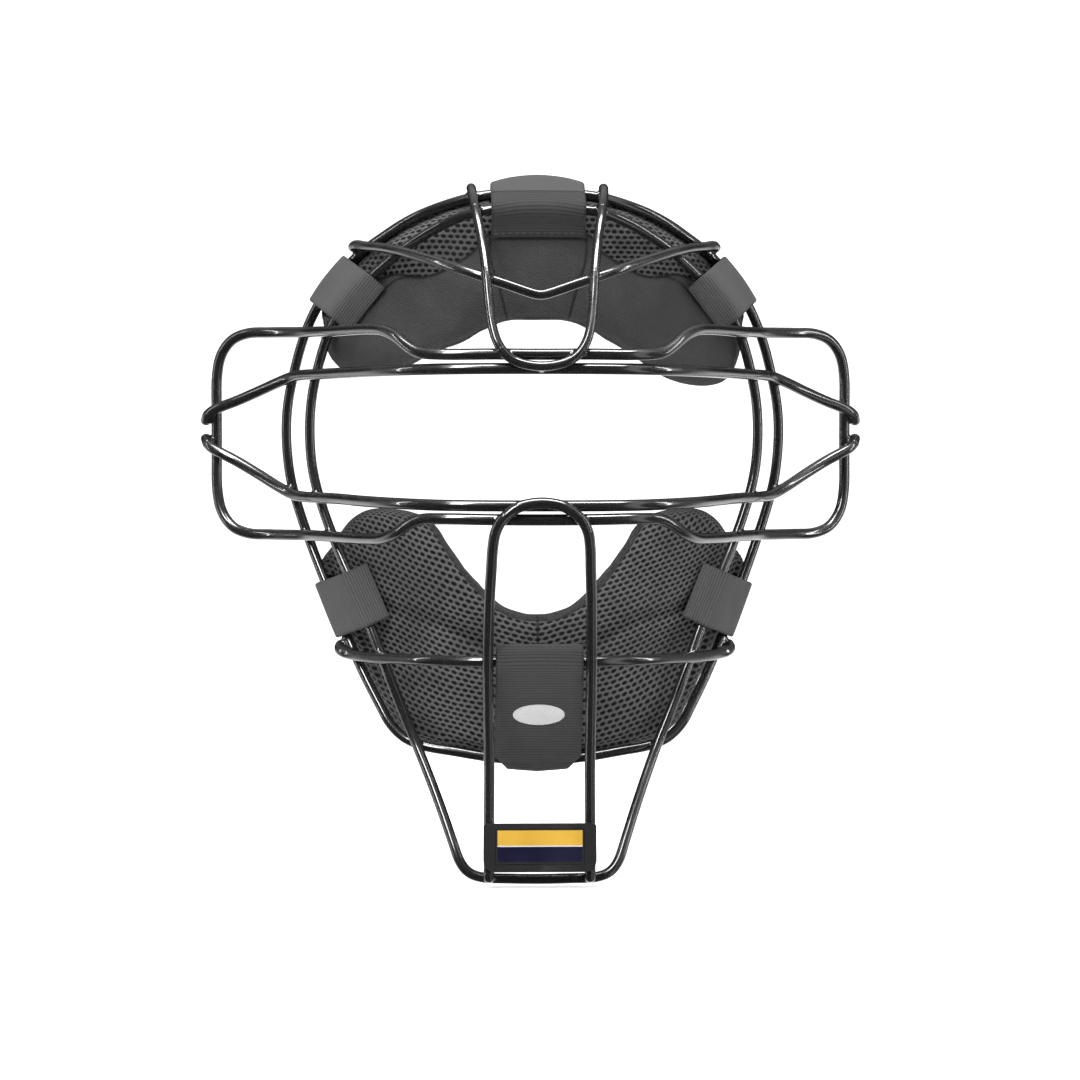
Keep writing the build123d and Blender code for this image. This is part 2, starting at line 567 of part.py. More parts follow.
chin = Station(REAR_SAMPLES[-1], Vector(1, 0, 0), Vector(0, 0, -1))
over_bar = [(BAR_A + BAR_WRAP_R * a, BAR_Y + BAR_WRAP_R * y) for a, y in BAR_WRAP]
lip = [(FOLD_A + LIP_R * math.cos(math.radians(angle)),
        FOLD_Y - LIP_R * math.sin(math.radians(angle))) for angle in LIP_ANGLES]
flap = [(FOLD_A, LEAF_START_Y), (FOLD_A, -0.2), (-3.0, -2.9), (-0.6, -4.4), FLAP_FOOT]
build_strap("chin_flap", chin, [flap + over_bar + lip],
            [hook_line(chin, *FLAP_HOOK_A, CHIN_PAD_FRONT)],
            CHIN_FLAP_W, tail_narrower=6.0)


def chin_flap_emblem():
    """Plain oval lying just off the front of the leaning part of the flap."""
    foot_a, foot_y = FLAP_FOOT
    lean_a, lean_y = over_bar[0][0] - foot_a, over_bar[0][1] - foot_y
    length = math.hypot(lean_a, lean_y)
    dir_a, dir_y = lean_a / length, lean_y / length
    y = foot_y + (EMBLEM_A - foot_a) * dir_y / dir_a
    rise = STRAP_T / 2 + EMBLEM_GAP + EMBLEM_T / 2
    centre = chin.at(EMBLEM_A + dir_y * rise, y - dir_a * rise)
    plane = Plane(origin=centre, x_dir=(1, 0, 0), z_dir=(0, -dir_a, dir_y))
    return extrude(plane * Ellipse(EMBLEM_RX, EMBLEM_RZ), EMBLEM_T / 2, both=True)


solids["chin_flap_emblem"] = chin_flap_emblem()

# ---------------------------------------------------------------- origin and export
boxes = [piece.bounding_box() for piece in solids.values()]
y_min = min(box.min.Y for box in boxes)
y_max = max(box.max.Y for box in boxes)
z_min = min(box.min.Z for box in boxes)
to_origin = Pos(0, -(y_min + y_max) / 2, -z_min)

for name, piece in solids.items():
    export_step(to_origin * piece, "parts/%s.step" % name)
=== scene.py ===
"""A wire face mask: a cage of coated wires, a brow and a chin cushion, six straps, a badge.

Drawing frame, in mm: x runs across, mirrored about x = 0; -y is the front and +y the back,
where the face is; z is up. to_row() carries it to the frame of the CAD pieces, in metres.
Piece names call the +x side "right", as seen from the front.
"""

import math
import random
from collections import namedtuple

import bmesh
import bpy
import numpy as np
from mathutils import Matrix, Vector
from mathutils.bvhtree import BVHTree


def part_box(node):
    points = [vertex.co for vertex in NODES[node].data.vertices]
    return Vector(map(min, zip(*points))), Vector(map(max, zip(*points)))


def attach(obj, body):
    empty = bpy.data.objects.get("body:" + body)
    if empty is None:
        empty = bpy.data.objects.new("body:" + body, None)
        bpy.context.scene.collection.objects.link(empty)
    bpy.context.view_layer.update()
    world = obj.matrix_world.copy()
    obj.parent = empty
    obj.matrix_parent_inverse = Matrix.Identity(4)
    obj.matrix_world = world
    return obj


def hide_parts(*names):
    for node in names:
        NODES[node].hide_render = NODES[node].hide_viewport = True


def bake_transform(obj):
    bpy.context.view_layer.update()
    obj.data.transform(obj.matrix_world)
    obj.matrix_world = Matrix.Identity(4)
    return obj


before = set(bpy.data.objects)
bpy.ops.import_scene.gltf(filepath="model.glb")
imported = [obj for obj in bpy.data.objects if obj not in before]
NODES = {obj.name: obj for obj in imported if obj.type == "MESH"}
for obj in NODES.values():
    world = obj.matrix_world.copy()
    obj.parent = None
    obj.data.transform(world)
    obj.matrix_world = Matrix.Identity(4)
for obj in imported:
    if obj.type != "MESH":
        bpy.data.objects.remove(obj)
random.seed(7)
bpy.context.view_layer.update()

# ------------------------------------------------------------------ wires
# Wire radii
RING_R, BAR_R, BROW_R, VEE_R, CHIN_R, LEG_R = 2.2, 2.4, 2.0, 2.2, 2.35, 2.3

# Centre lines of the +x half of each wire; columns x, z, y
REAR_RING = [
    (0, 102.9, -57.0), (15, 102.4, -56.5), (27.8, 100.9, -55.0), (44.9, 96.0, -48.5),
    (56, 91.2, -41.5), (65.3, 85.7, -33.6), (76.3, 78.2, -24.4), (86.4, 68.2, -15.6),
    (93, 59.6, -9.8), (97.6, 51.6, -6.2), (102.2, 40.2, -2.8), (105.9, 26.6, -0.8),
    (108.3, 15.0, 0.0), (109.3, 3.0, 0.2), (108.7, -10.5, 0.0), (106.9, -22.0, -1.2),
    (103.2, -34.8, -3.6), (97.8, -50.0, -7.4), (91.4, -66.0, -14.5), (84.8, -81.7, -23.0),
    (75.6, -102.0, -34.0), (67.4, -117.6, -41.5), (63.0, -125.2, -44.8),
    (56.5, -131.2, -47.5), (48.0, -134.3, -50.5), (36.0, -136.2, -53.4),
    (20.0, -138.6, -56.0), (0, -140.2, -57.0)]
FRONT_RING = [
    (0, 95.2, -73.0), (13, 94.9, -72.4), (25.5, 93.9, -70.6), (38.8, 89.4, -64.6),
    (54.6, 80.6, -54.6), (64.6, 73.0, -47.2), (76.0, 63.0, -37.4), (86.0, 51.4, -28.0),
    (90.8, 41.5, -22.9), (95.1, 27.4, -18.4), (97.5, 15.5, -17.0), (98.4, 3.0, -16.6),
    (97.8, -11.0, -17.0), (95.8, -22.0, -18.6), (91.6, -35.6, -22.0), (85.6, -50.8, -27.0),
    (78.4, -67.0, -34.0), (71.4, -83.6, -41.0), (64.9, -100.8, -46.2), (57.3, -120.0, -50.6),
    (51.6, -133.6, -54.0), (42.2, -157.0, -67.4), (36.2, -173.6, -76.0),
    (33.8, -180.2, -78.6), (30.2, -185.0, -79.9), (24.6, -187.2, -80.2), (12, -187.8, -80.2),
    (0, -188.0, -80.2)]
EYE_LOOP = [
    (0, 32.8, -108.0), (20, 32.9, -107.2), (41.0, 32.9, -103.4), (50.5, 33.8, -98.6),
    (55.4, 36.6, -94.9), (60.4, 40.8, -89.8), (65.6, 43.4, -82.6), (72.0, 44.2, -70.4),
    (80.0, 44.3, -55.0), (89.0, 44.3, -36.0), (94.5, 44.5, -23.4), (101.2, 44.7, -10.4),
    (109.0, 44.9, -1.8), (117.0, 45.0, 4.6), (126.6, 44.8, 10.5), (134.0, 41.9, 14.6),
    (139.0, 35.2, 17.8), (141.0, 25.5, 19.6), (141.2, 12.0, 20.3), (141.2, 0.0, 20.5),
    (141.2, -12.0, 20.3), (141.0, -24.5, 19.6), (139.0, -34.4, 17.8), (134.0, -41.3, 14.6),
    (126.6, -44.3, 10.3), (117.0, -44.6, 3.8), (108.0, -44.6, -4.4), (99.8, -44.5, -12.5),
    (93.6, -44.5, -23.8), (88.4, -44.5, -34.2), (80.0, -44.6, -52.4), (72.0, -44.5, -68.8),
    (65.6, -43.9, -81.4), (60.2, -41.4, -89.8), (55.2, -37.8, -94.9), (50.0, -35.6, -98.6),
    (41.0, -35.2, -103.4), (20, -35.5, -107.4), (0, -35.6, -108.0)]
UPPER_BAR = [
    (0, 26.9, -108.0), (20, 26.9, -107.0), (41.0, 26.8, -102.4), (56, 26.6, -92.6),
    (67, 26.4, -80.2), (78, 26.2, -61.6), (88, 26.0, -41.8), (95.3, 25.9, -28.2),
    (101, 25.8, -16.4), (106.3, 25.2, -6.9), (112.5, 22.9, -1.4), (122, 18.8, 5.6),
    (132.0, 14.6, 11.2), (139.6, 11.8, 14.0), (144.4, 9.2, 16.8), (146.0, 6.0, 20.6)]
LOWER_BAR = [
    (0, -29.8, -108.0), (20, -29.8, -107.0), (41.0, -29.6, -102.4), (56, -29.2, -92.6),
    (67, -28.8, -80.2), (77, -28.4, -61.6), (86.5, -27.9, -42.0), (94.0, -27.7, -29.4),
    (100.2, -27.6, -16.8), (105.6, -26.8, -8.4), (112.0, -23.8, -2.2), (122, -17.8, 5.4),
    (132.0, -12.0, 11.2), (139.6, -8.1, 14.0), (144.4, -5.3, 16.8), (146.0, -2.0, 20.6)]
BROW_U = [
    (28.3, 105.0, -54.6), (28.2, 104.6, -59.0), (27.9, 101.8, -66.2), (27.1, 96.8, -73.2),
    (26.2, 91.4, -78.8), (24.9, 84.7, -84.0), (23.6, 75.7, -91.4), (22.6, 66.6, -97.4),
    (21.6, 54.0, -103.2), (20.2, 43.6, -108.4), (17.6, 36.2, -111.2), (12.4, 30.6, -112.2),
    (6.0, 28.4, -112.3), (0, 27.8, -112.3)]
VEE = [
    (79.2, 81.4, -23.4), (77.8, 82.1, -27.6), (73.6, 81.2, -32.8), (66.0, 79.8, -46.4),
    (57.9, 77.4, -61.6), (49.5, 74.5, -72.6), (40.5, 71.2, -82.4), (31.5, 68.0, -89.8),
    (22.6, 65.0, -93.6), (14.6, 62.4, -94.9), (6.0, 59.4, -95.8), (0, 57.8, -96.0)]
CHIN_BAR = [
    (84.8, -92.0, -26.4), (85.2, -94.0, -30.7), (79.8, -95.6, -35.6), (74.2, -96.1, -42.6),
    (68.0, -96.2, -49.8), (60.0, -96.0, -58.8), (50.0, -95.8, -69.6), (38.0, -95.8, -78.0),
    (26.0, -95.8, -82.4), (12, -95.9, -84.2), (0, -96.0, -84.6)]
CENTRE_LOOP = [
    (21.3, -187.2, -84.3), (21.3, -176.0, -84.3), (21.3, -162.0, -84.4),
    (21.2, -141.5, -84.8), (21.7, -112.0, -86.2), (21.8, -95.8, -87.6), (21.6, -82.0, -90.6),
    (21.3, -69.3, -95.6), (20.6, -55.0, -103.0), (20.2, -47.4, -107.4), (19.0, -40.2, -111.2),
    (16.2, -35.2, -112.5), (10.8, -30.8, -112.6), (5.6, -29.0, -112.6), (0, -28.4, -112.6)]

# The rear ring's lowest middle point ties the drawing frame to the CAD piece's box
rear_low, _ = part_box("rear_ring_wire")
_, RING_LOW_Z, RING_FRONT_Y = REAR_RING[-1]
SHIFT = np.array([0.0, rear_low.y * 1000 - RING_FRONT_Y + RING_R,
                  rear_low.z * 1000 - RING_LOW_Z + RING_R])


def to_row(points):
    """Drawing-frame points in mm as row-frame points in metres."""
    return (np.asarray(points) + SHIFT) / 1000


def between(p, q, time_p, time_q, time):
    span = time_q - time_p
    return p * ((time_q - time) / span) + q * ((time - time_p) / span)


def catmull(points, closed, per):
    """Centripetal Catmull-Rom curve, with `per` steps from each point to the next."""
    points = [np.array(p, float) for p in points]
    n = len(points)
    curve = []
    for i in range(n if closed else n - 1):
        if closed:
            p = [points[(i + k) % n] for k in (-1, 0, 1, 2)]
        else:
            here, after = points[i], points[i + 1]
            p = [points[i - 1] if i > 0 else here * 2 - after, here, after,
                 points[i + 2] if i + 2 < n else after * 2 - here]
        t = [0.0]
        for k in range(3):
            t.append(t[-1] + max(np.linalg.norm(p[k + 1] - p[k]), 1e-6) ** 0.5)
        for k in range(per):
            now = t[1] + (t[2] - t[1]) * k / per
            a1, a2, a3 = (between(p[j], p[j + 1], t[j], t[j + 1], now) for j in range(3))
            b1 = between(a1, a2, t[0], t[2], now)
            b2 = between(a2, a3, t[1], t[3], now)
            curve.append(between(b1, b2, t[1], t[2], now))
    if not closed:
        curve.append(points[-1])
    return np.array(curve)


def mirrored(half):
    """The same points at -x, in reverse order."""
    return [(-x, *rest) for x, *rest in reversed(half)]


def whole(half, closed):
    """Both halves of a wire, as (x, y, z)."""
    right = [(x, y, z) for x, z, y in half]
    left = mirrored(right)
    if closed:
        return right + left[1:-1]
    if half[-1][0] == 0:
        return right + left[1:]
    return left[:-1] + right


def wire(half, radius, closed):
    return Wire(catmull(whole(half, closed), closed, per=16), radius, closed)


Wire = namedtuple("Wire", "curve radius closed")
WIRES = {
    "rear_ring_wire": wire(REAR_RING, RING_R, True),
    "front_ring_throat_wire": wire(FRONT_RING, RING_R, True),
    "eye_port_loop": wire(EYE_LOOP, BAR_R, True),
    "upper_eye_bar": wire(UPPER_BAR, BAR_R, False),
    "lower_eye_bar": wire(LOWER_BAR, BAR_R, False),
    "forehead_u_wire": wire(BROW_U, BROW_R, False),
    "forehead_v_wire": wire(VEE, VEE_R, False),
    "chin_crossbar": wire(CHIN_BAR, CHIN_R, False),
    "centre_loop_wire": wire(CENTRE_LOOP, LEG_R, False)}


# ------------------------------------------------------------------ shader helpers
class Value:
    """A shader output that takes plain arithmetic; each operation adds one node."""

    def __init__(self, nodes, socket):
        self.nodes = nodes
        self.socket = socket

    def __add__(self, other):
        return self.nodes.math("ADD", self, other)

    def __sub__(self, other):
        return self.nodes.math("SUBTRACT", self, other)

    def __mul__(self, other):
        return self.nodes.math("MULTIPLY", self, other)

    def __truediv__(self, other):
        return self.nodes.math("DIVIDE", self, other)

    def __abs__(self):
        return self.nodes.math("ABSOLUTE", self)

    def scale_add(self, factor, offset):
        return self.nodes.math("MULTIPLY_ADD", self, factor, offset)

    def wave(self, pitch):
        """Sine from -1 to 1."""
        return self.nodes.math("SINE", self * (2 * math.pi / pitch))

    def wave01(self, pitch):
        """Sine from 0 to 1."""
        return self.wave(pitch).scale_add(factor=0.5, offset=0.5)

    def ramp(self, lo, hi, first=0.0, last=1.0):
        """Smooth step from `first` at lo to `last` at hi."""
        inputs = {"Value": self, "From Min": lo, "From Max": hi, "To Min": first, "To Max": last}
        return self.nodes.out("ShaderNodeMapRange", inputs, output="Result",
                              interpolation_type="SMOOTHSTEP")

    def fall(self, lo, hi, first=1.0):
        """Smooth step from `first` down to 0."""
        return self.ramp(lo, hi, first=first, last=0.0)


class Nodes:
    """Builds the nodes of one tree."""

    def __init__(self, tree):
        self.tree = tree
        tree.nodes.clear()

    def add(self, kind, **settings):
        node = self.tree.nodes.new(kind)
        for name, setting in settings.items():
            setattr(node, name, setting)
        return node

    def put(self, socket, value):
        """Link a value to a socket, or set the socket to a constant."""
        if isinstance(value, Value):
            value = value.socket
        if isinstance(value, bpy.types.NodeSocket):
            self.tree.links.new(value, socket)
        else:
            socket.default_value = value

    def out(self, kind, inputs=None, output=0, **settings):
        """One output of a new node; inputs are given by name or number."""
        node = self.add(kind, **settings)
        for name, value in (inputs or {}).items():
            self.put(node.inputs[name], value)
        return Value(self, node.outputs[output])

    def math(self, operation, *inputs):
        return self.out("ShaderNodeMath", dict(enumerate(inputs)), operation=operation)

    def mix(self, factor, a, b):
        """Colour from a (factor 0) to b (factor 1)."""
        return self.out("ShaderNodeMix", {0: factor, 6: a, 7: b}, output=2, data_type="RGBA")

    def mix_values(self, factor, a, b):
        return self.out("ShaderNodeMix", {0: factor, 2: a, 3: b}, data_type="FLOAT")

    def split(self, vector):
        """x, y and z of a vector."""
        node = self.add("ShaderNodeSeparateXYZ")
        self.put(node.inputs[0], vector)
        return [Value(self, socket) for socket in node.outputs]


class Material(Nodes):
    """A material with one Principled shader."""

    INPUTS = {
        "color": "Base Color", "rough": "Roughness", "metal": "Metallic",
        "spec": "Specular IOR Level", "coat": "Coat Weight", "coat_rough": "Coat Roughness",
        "sheen": "Sheen Weight", "sheen_rough": "Sheen Roughness", "sheen_tint": "Sheen Tint",
        "normal": "Normal", "coat_normal": "Coat Normal"}

    def __init__(self, name):
        self.material = bpy.data.materials.new(name)
        self.material.use_nodes = True
        super().__init__(self.material.node_tree)
        output = self.add("ShaderNodeOutputMaterial")
        self.shader = self.add("ShaderNodeBsdfPrincipled")
        self.put(output.inputs[0], self.shader.outputs[0])

    def position(self):
        return self.out("ShaderNodeTexCoord", output="Object")

    def weave_map(self):
        """u and v of the piece's map, in mm."""
        return self.split(self.out("ShaderNodeUVMap", uv_map="weave"))[:2]

    def attribute(self, name):
        return self.out("ShaderNodeAttribute", output="Fac", attribute_name=name)

    def noise(self, scale, detail=3.0, rough=0.55):
        inputs = {"Vector": self.position(), "Scale": scale, "Detail": detail, "Roughness": rough}
        return self.out("ShaderNodeTexNoise", inputs, output="Fac")

    def drift(self, scale, detail, amount):
        """Noise centred on 0."""
        return (self.noise(scale, detail) - 0.5) * amount

    def mottled(self, scale, dark, light):
        """Grey that wanders from dark to light."""
        tone = self.noise(scale, detail=4.0, rough=0.6)
        return self.mix(tone.ramp(lo=0.3, hi=0.75), grey(dark), grey(light))

    def bump(self, height, strength, distance):
        """Strength 0..1, distance in metres."""
        inputs = {"Strength": strength, "Distance": distance, "Height": height}
        return self.out("ShaderNodeBump", inputs)

    def finish(self, **looks):
        for name, value in looks.items():
            self.put(self.shader.inputs[self.INPUTS[name]], value)
        return self.material


def grey(value, tint=(1.0, 1.0, 1.0)):
    return (*(value * t for t in tint), 1.0)


# ------------------------------------------------------------------ materials
def wire_material():
    m = Material("coated_wire_gloss_black")
    peel = m.noise(scale=900.0, detail=2.0)
    wear = m.noise(scale=38.0, detail=5.0, rough=0.65)
    fresh = grey(0.0060, tint=(1, 1, 1.05))
    return m.finish(
        color=m.mix(wear.ramp(lo=0.55, hi=0.75), fresh, grey(0.013)),
        rough=wear.ramp(lo=0.3, hi=0.75, first=0.20, last=0.32), spec=0.5, coat=0.9,
        coat_rough=wear.ramp(lo=0.35, hi=0.75, first=0.03, last=0.11),
        normal=m.bump(peel, strength=0.012, distance=0.0001),
        coat_normal=m.bump(peel, strength=0.006, distance=0.0001))


def plate_material():
    m = Material("badge_plate_plastic")
    grain = m.noise(scale=1400.0, detail=3.0)
    scuff = m.noise(scale=70.0, detail=5.0, rough=0.7)
    return m.finish(
        color=m.mix(scuff.ramp(lo=0.5, hi=0.8), grey(0.010), grey(0.020)),
        rough=scuff.ramp(lo=0.3, hi=0.8, first=0.28, last=0.46), spec=0.5,
        coat=0.15, coat_rough=0.2, normal=m.bump(grain, strength=0.12, distance=0.0001))


def steel_material():
    m = Material("screw_steel_brushed")
    grain = m.noise(scale=2500.0, detail=2.0)
    wear = m.noise(scale=120.0, detail=4.0)
    return m.finish(
        color=m.mix(wear, grey(0.42), grey(0.62)), metal=1.0,
        rough=wear.ramp(lo=0.3, hi=0.8, first=0.22, last=0.42),
        normal=m.bump(grain, strength=0.2, distance=0.0001))


def label_material(low, high):
    """Gold band over a dark navy band with a thin dark border, for a label in this box."""
    split_up = 0.0002                # height of the bands' join above the label's middle
    border_in, border_out = 0.0007, 0.0006          # the border's soft edge, from the rim
    half_height, half_width = (high.z - low.z) / 2, (high.x - low.x) / 2
    m = Material("badge_label_print")
    x, _, z = m.split(m.position())
    z = z - ((low.z + high.z) / 2 + split_up)
    x = abs(x)
    grain = m.noise(scale=900.0, detail=3.0)
    fade = m.noise(scale=60.0, detail=4.0)
    gold = m.mix(fade.ramp(lo=0.3, hi=0.7), (0.300, 0.172, 0.013, 1), (0.365, 0.218, 0.020, 1))
    gold = m.mix(grain * 0.25, gold, (0.21, 0.118, 0.010, 1))
    navy = m.mix(fade.ramp(lo=0.3, hi=0.7), (0.0022, 0.0022, 0.0125, 1),
                 (0.0040, 0.0040, 0.0190, 1))
    color = m.mix(z.ramp(lo=-0.00006, hi=0.00006), navy, gold)
    # thin pale line between the bands
    color = m.mix(abs(z).fall(lo=0.00022, hi=0.00032), color, grey(0.30))
    border = m.math("MAXIMUM",
                    abs(z).ramp(lo=half_height - border_in, hi=half_height - border_out),
                    x.ramp(lo=half_width - border_in, hi=half_width - border_out))
    color = m.mix(border, color, grey(0.012))
    return m.finish(color=color, rough=fade.ramp(lo=0.3, hi=0.8, first=0.28, last=0.42),
                    spec=0.3, coat=0.12, coat_rough=0.15,
                    normal=m.bump(grain, strength=0.06, distance=0.0001))


def hole_field(m, u, v):
    """Staggered oval holes: 0 at the middle of the nearest one, 1 on its rim."""
    pitch_u, pitch_v = 3.35, 2.3
    radius_u, radius_v = 1.12, 0.66
    u = u + m.drift(scale=120.0, detail=2.0, amount=1.5)
    v = v + m.drift(scale=90.0, detail=2.0, amount=1.1)
    v = v + m.drift(scale=18.0, detail=1.0, amount=9.0)
    row = v / pitch_v
    odd = m.math("FLOORED_MODULO", m.math("FLOOR", row), 2.0)
    column = u / pitch_u + odd * 0.5
    across = (m.math("FRACT", column) - 0.5) * (pitch_u / radius_u)
    up = (m.math("FRACT", row) - 0.5) * (pitch_v / radius_v)
    return m.math("SQRT", across * across + up * up)


def air_mesh(m, u, v):
    """Colour and height of open air mesh."""
    lean, thread_pitch = 0.75, 0.55
    field = hole_field(m, u, v)
    hole = field.fall(lo=0.72, hi=1.12)
    crossed = m.math("MAXIMUM", (u * lean + v).wave(thread_pitch),
                     (u * lean - v).wave(thread_pitch))
    thread = crossed.scale_add(factor=0.5, offset=0.5)
    tone = m.noise(scale=48.0, detail=4.0)
    strand = m.mix(tone.ramp(lo=0.3, hi=0.7), grey(0.026), grey(0.050))
    # the crossed thread lines are partly the weave's own pattern and partly a painted highlight
    # on the thread tops
    strand = m.mix(thread * 0.4, strand, grey(0.092))
    # painted shade: the strands darken towards each hole's rim
    color = m.mix(field.ramp(lo=0.95, hi=1.5), grey(0.019), strand)
    # the holes are the mesh's real open pattern, painted near black as painted shade of their
    # depth
    color = m.mix(hole, color, grey(0.0016))
    return color, field.ramp(lo=0.7, hi=1.7) + thread * 0.10


def yoke_weave(m, u, v):
    """Colour and height of fine diagonal weave."""
    base, pitch = 0.0225, 1.35
    cross = (u - v).wave(pitch * 0.5)
    rib = (u + v).wave01(pitch)
    plain = m.mottled(scale=30.0, dark=base * 0.86, light=base * 1.16)
    color = m.mix(rib * 0.55, m.mix(0.35, plain, grey(base * 0.4)), grey(base * 2.1))
    fuzz = m.noise(scale=1500.0, detail=2.0)
    color = m.mix(fuzz.ramp(lo=0.5, hi=0.8) * 0.25, color, grey(base * 2.1))
    return color, rib + cross * 0.22


def cushion_material(name, has_yoke):
    """Open mesh, smooth yoke, brushed edge tape and lining, chosen by attributes."""
    m = Material(name)
    u, v = m.weave_map()
    color, height = air_mesh(m, u, v)
    brush = m.noise(scale=700.0, detail=3.0)
    lining = m.mix(brush.ramp(lo=0.3, hi=0.75), grey(0.011), grey(0.026))
    tape = m.attribute("tape").ramp(lo=0.42, hi=0.58)
    if has_yoke:
        yoke_color, yoke_height = yoke_weave(m, u, v)
        yoke = m.attribute("yoke").ramp(lo=-0.25, hi=0.25)
        color = m.mix(yoke, color, yoke_color)
        height = m.mix_values(yoke, height, yoke_height * 0.30)
        outline = abs(m.attribute("yoke")).fall(lo=0.25, hi=0.95)
        color = m.mix(outline * 0.8, color, grey(0.008))
    color = m.mix(tape, color, lining)
    height = m.mix_values(tape, height, brush * 0.2)
    color = m.mix(m.attribute("seam").fall(lo=0.25, hi=0.9, first=0.8), color, grey(0.005))
    tape_edge = abs(m.attribute("tape") - 0.5).fall(lo=0.05, hi=0.28)
    color = m.mix(tape_edge * 0.7, color, grey(0.009))
    dirt = m.noise(scale=22.0, detail=4.0, rough=0.6)
    color = m.mix(dirt.ramp(lo=0.55, hi=0.85, last=0.18), color, grey(0.04))
    return m.finish(color=color, rough=0.92, spec=0.18, sheen=0.04, sheen_rough=0.45,
                    sheen_tint=grey(0.5), normal=m.bump(height, strength=0.9, distance=0.00055))


def webbing_material():
    """Side strap webbing; u runs along the strap and v across it."""
    base = 0.036
    rib_pitch, cross_pitch, weave_pitch = 1.15, 0.6, 0.62
    weave_share = 1.0
    m = Material("strap_webbing")
    u, v = m.weave_map()
    ribbed = m.attribute("ribbed").ramp(lo=0.35, hi=0.65)
    rib = u.wave01(rib_pitch)
    cross = v.wave01(cross_pitch)
    weave = (u + v).wave01(weave_pitch) * weave_share
    height = m.mix_values(ribbed, weave * 0.35, rib + cross * 0.45)
    plain = m.mottled(scale=45.0, dark=base * 0.88, light=base * 1.12)
    rib_color = m.mix(rib.scale_add(factor=0.6, offset=cross * 0.3),
                      grey(base * 0.5), grey(base * 1.75))
    plain = m.mix(weave * 0.28, plain, grey(base * 1.6))
    color = m.mix(ribbed * 0.9, plain, rib_color)
    fuzz = m.noise(scale=1900.0, detail=2.0)
    color = m.mix(fuzz.ramp(lo=0.5, hi=0.85, last=0.22), color, grey(base * 2.0))
    edge = m.attribute("edge").fall(lo=0.2, hi=1.2)
    color = m.mix(edge * 0.35, color, grey(base * 0.45))
    return m.finish(color=color, rough=0.86, spec=0.2, sheen=0.05, sheen_rough=0.5,
                    sheen_tint=grey(0.6), normal=m.bump(height, strength=0.7, distance=0.00028))


def row_weave(m, u, v, base):
    """Rows across the strip; the stitches of neighbouring rows slant opposite ways."""
    row_pitch, stitch_pitch, slope = 1.3, 0.82, 0.9
    row = (u + m.drift(scale=240.0, detail=2.0, amount=0.22)) / row_pitch
    odd = m.math("FLOORED_MODULO", m.math("FLOOR", row), 2.0)
    sign = odd.scale_add(factor=-2.0, offset=1.0)
    stitch = (v + sign * u * slope).wave01(stitch_pitch)
    gap = abs(m.math("FRACT", row) - 0.5).ramp(lo=0.28, hi=0.5)
    plain = m.mottled(scale=34.0, dark=base * 0.85, light=base * 1.15)
    color = m.mix(stitch * 0.75, m.mix(0.45, plain, grey(base * 0.35)), grey(base * 2.2))
    color = m.mix(gap * 0.85, color, grey(base * 0.3))
    fuzz = m.noise(scale=1500.0, detail=2.0)
    color = m.mix(fuzz.ramp(lo=0.5, hi=0.8) * 0.22, color, grey(base * 2.1))
    return color, stitch * 0.7 - gap * 0.9


def twill_material(name, cap=False):
    """Row weave; with `cap`, a smoother weave where the strap lies over the crown wires, painted
    lighter there as a painted highlight, with painted shade on the front below and in the crease.
    """
    base = 0.0235
    m = Material(name)
    u, v = m.weave_map()
    color, height = row_weave(m, u, v, base)
    if cap:
        below = m.attribute("ribbed")               # 0 on the cap, 1 below it
        # painted highlight: the cap faces the top light, so it is painted lighter
        color = m.mix(below.fall(lo=0.30, hi=0.62) * 0.75, color, grey(base * 1.65))
        # painted shade on the front face below the cap
        color = m.mix(below.ramp(lo=0.45, hi=0.8, last=0.22), color, grey(base * 0.35))
        height = height * below.ramp(lo=0.3, hi=0.62, first=0.35)
        # painted shade along the crease
        crease = abs(below - 0.66).fall(lo=0.02, hi=0.22)
        color = m.mix(crease * 0.6, color, grey(base * 0.4))
    edge = m.attribute("edge").fall(lo=0.2, hi=1.2)
    color = m.mix(edge * 0.45, color, grey(base * 0.4))
    return m.finish(color=color, rough=0.9, spec=0.18, sheen=0.05, sheen_rough=0.5,
                    sheen_tint=grey(0.6), normal=m.bump(height, strength=0.6, distance=0.00022))


def stitch_material():
    light = 0.012
    m = Material("stitch_thread_dark")
    grain = m.noise(scale=1200.0, detail=3.0)
    return m.finish(color=m.mix(grain, grey(light * 0.7), grey(light)), rough=0.6, sheen=0.2,
                    normal=m.bump(grain, strength=0.4, distance=0.0002))


def emblem_material():
    """White satin thread laid side by side."""
    light, thread_pitch, lean = 0.47, 0.00062, 0.35
    m = Material("emblem_thread_white")
    x, _, z = m.split(m.position())
    thread = (x + z * lean).wave01(thread_pitch)
    # painted shade between the satin threads and painted highlight on their tops, along the lay
    painted_thread_shade = grey(light * 0.62, tint=(1, 0.97, 1.02))
    return m.finish(color=m.mix(thread, painted_thread_shade, grey(light)), rough=0.42, sheen=0.3,
                    normal=m.bump(thread, strength=0.9, distance=0.0003))


def hook_material():
    m = Material("hook_tape_black")
    cells = m.out("ShaderNodeTexVoronoi", {"Vector": m.position(), "Scale": 1100.0},
                  output="Distance")
    return m.finish(color=m.mix(cells, grey(0.05), grey(0.008)), rough=0.6, spec=0.35,
                    normal=m.bump(cells, strength=1.0, distance=0.0004))


def floor_material():
    m = Material("pale_floor")
    tone = m.noise(scale=3.0, detail=3.0)
    m.finish(color=m.mix(tone, grey(0.86), grey(0.88)), rough=0.9, spec=0.1)
    m.shader.inputs["Emission Color"].default_value = (1, 1, 1, 1)
    m.shader.inputs["Emission Strength"].default_value = 0.42
    return m.material


# ------------------------------------------------------------------ mesh helpers
def set_material(o, material):
    o.data.materials.clear()
    o.data.materials.append(material)


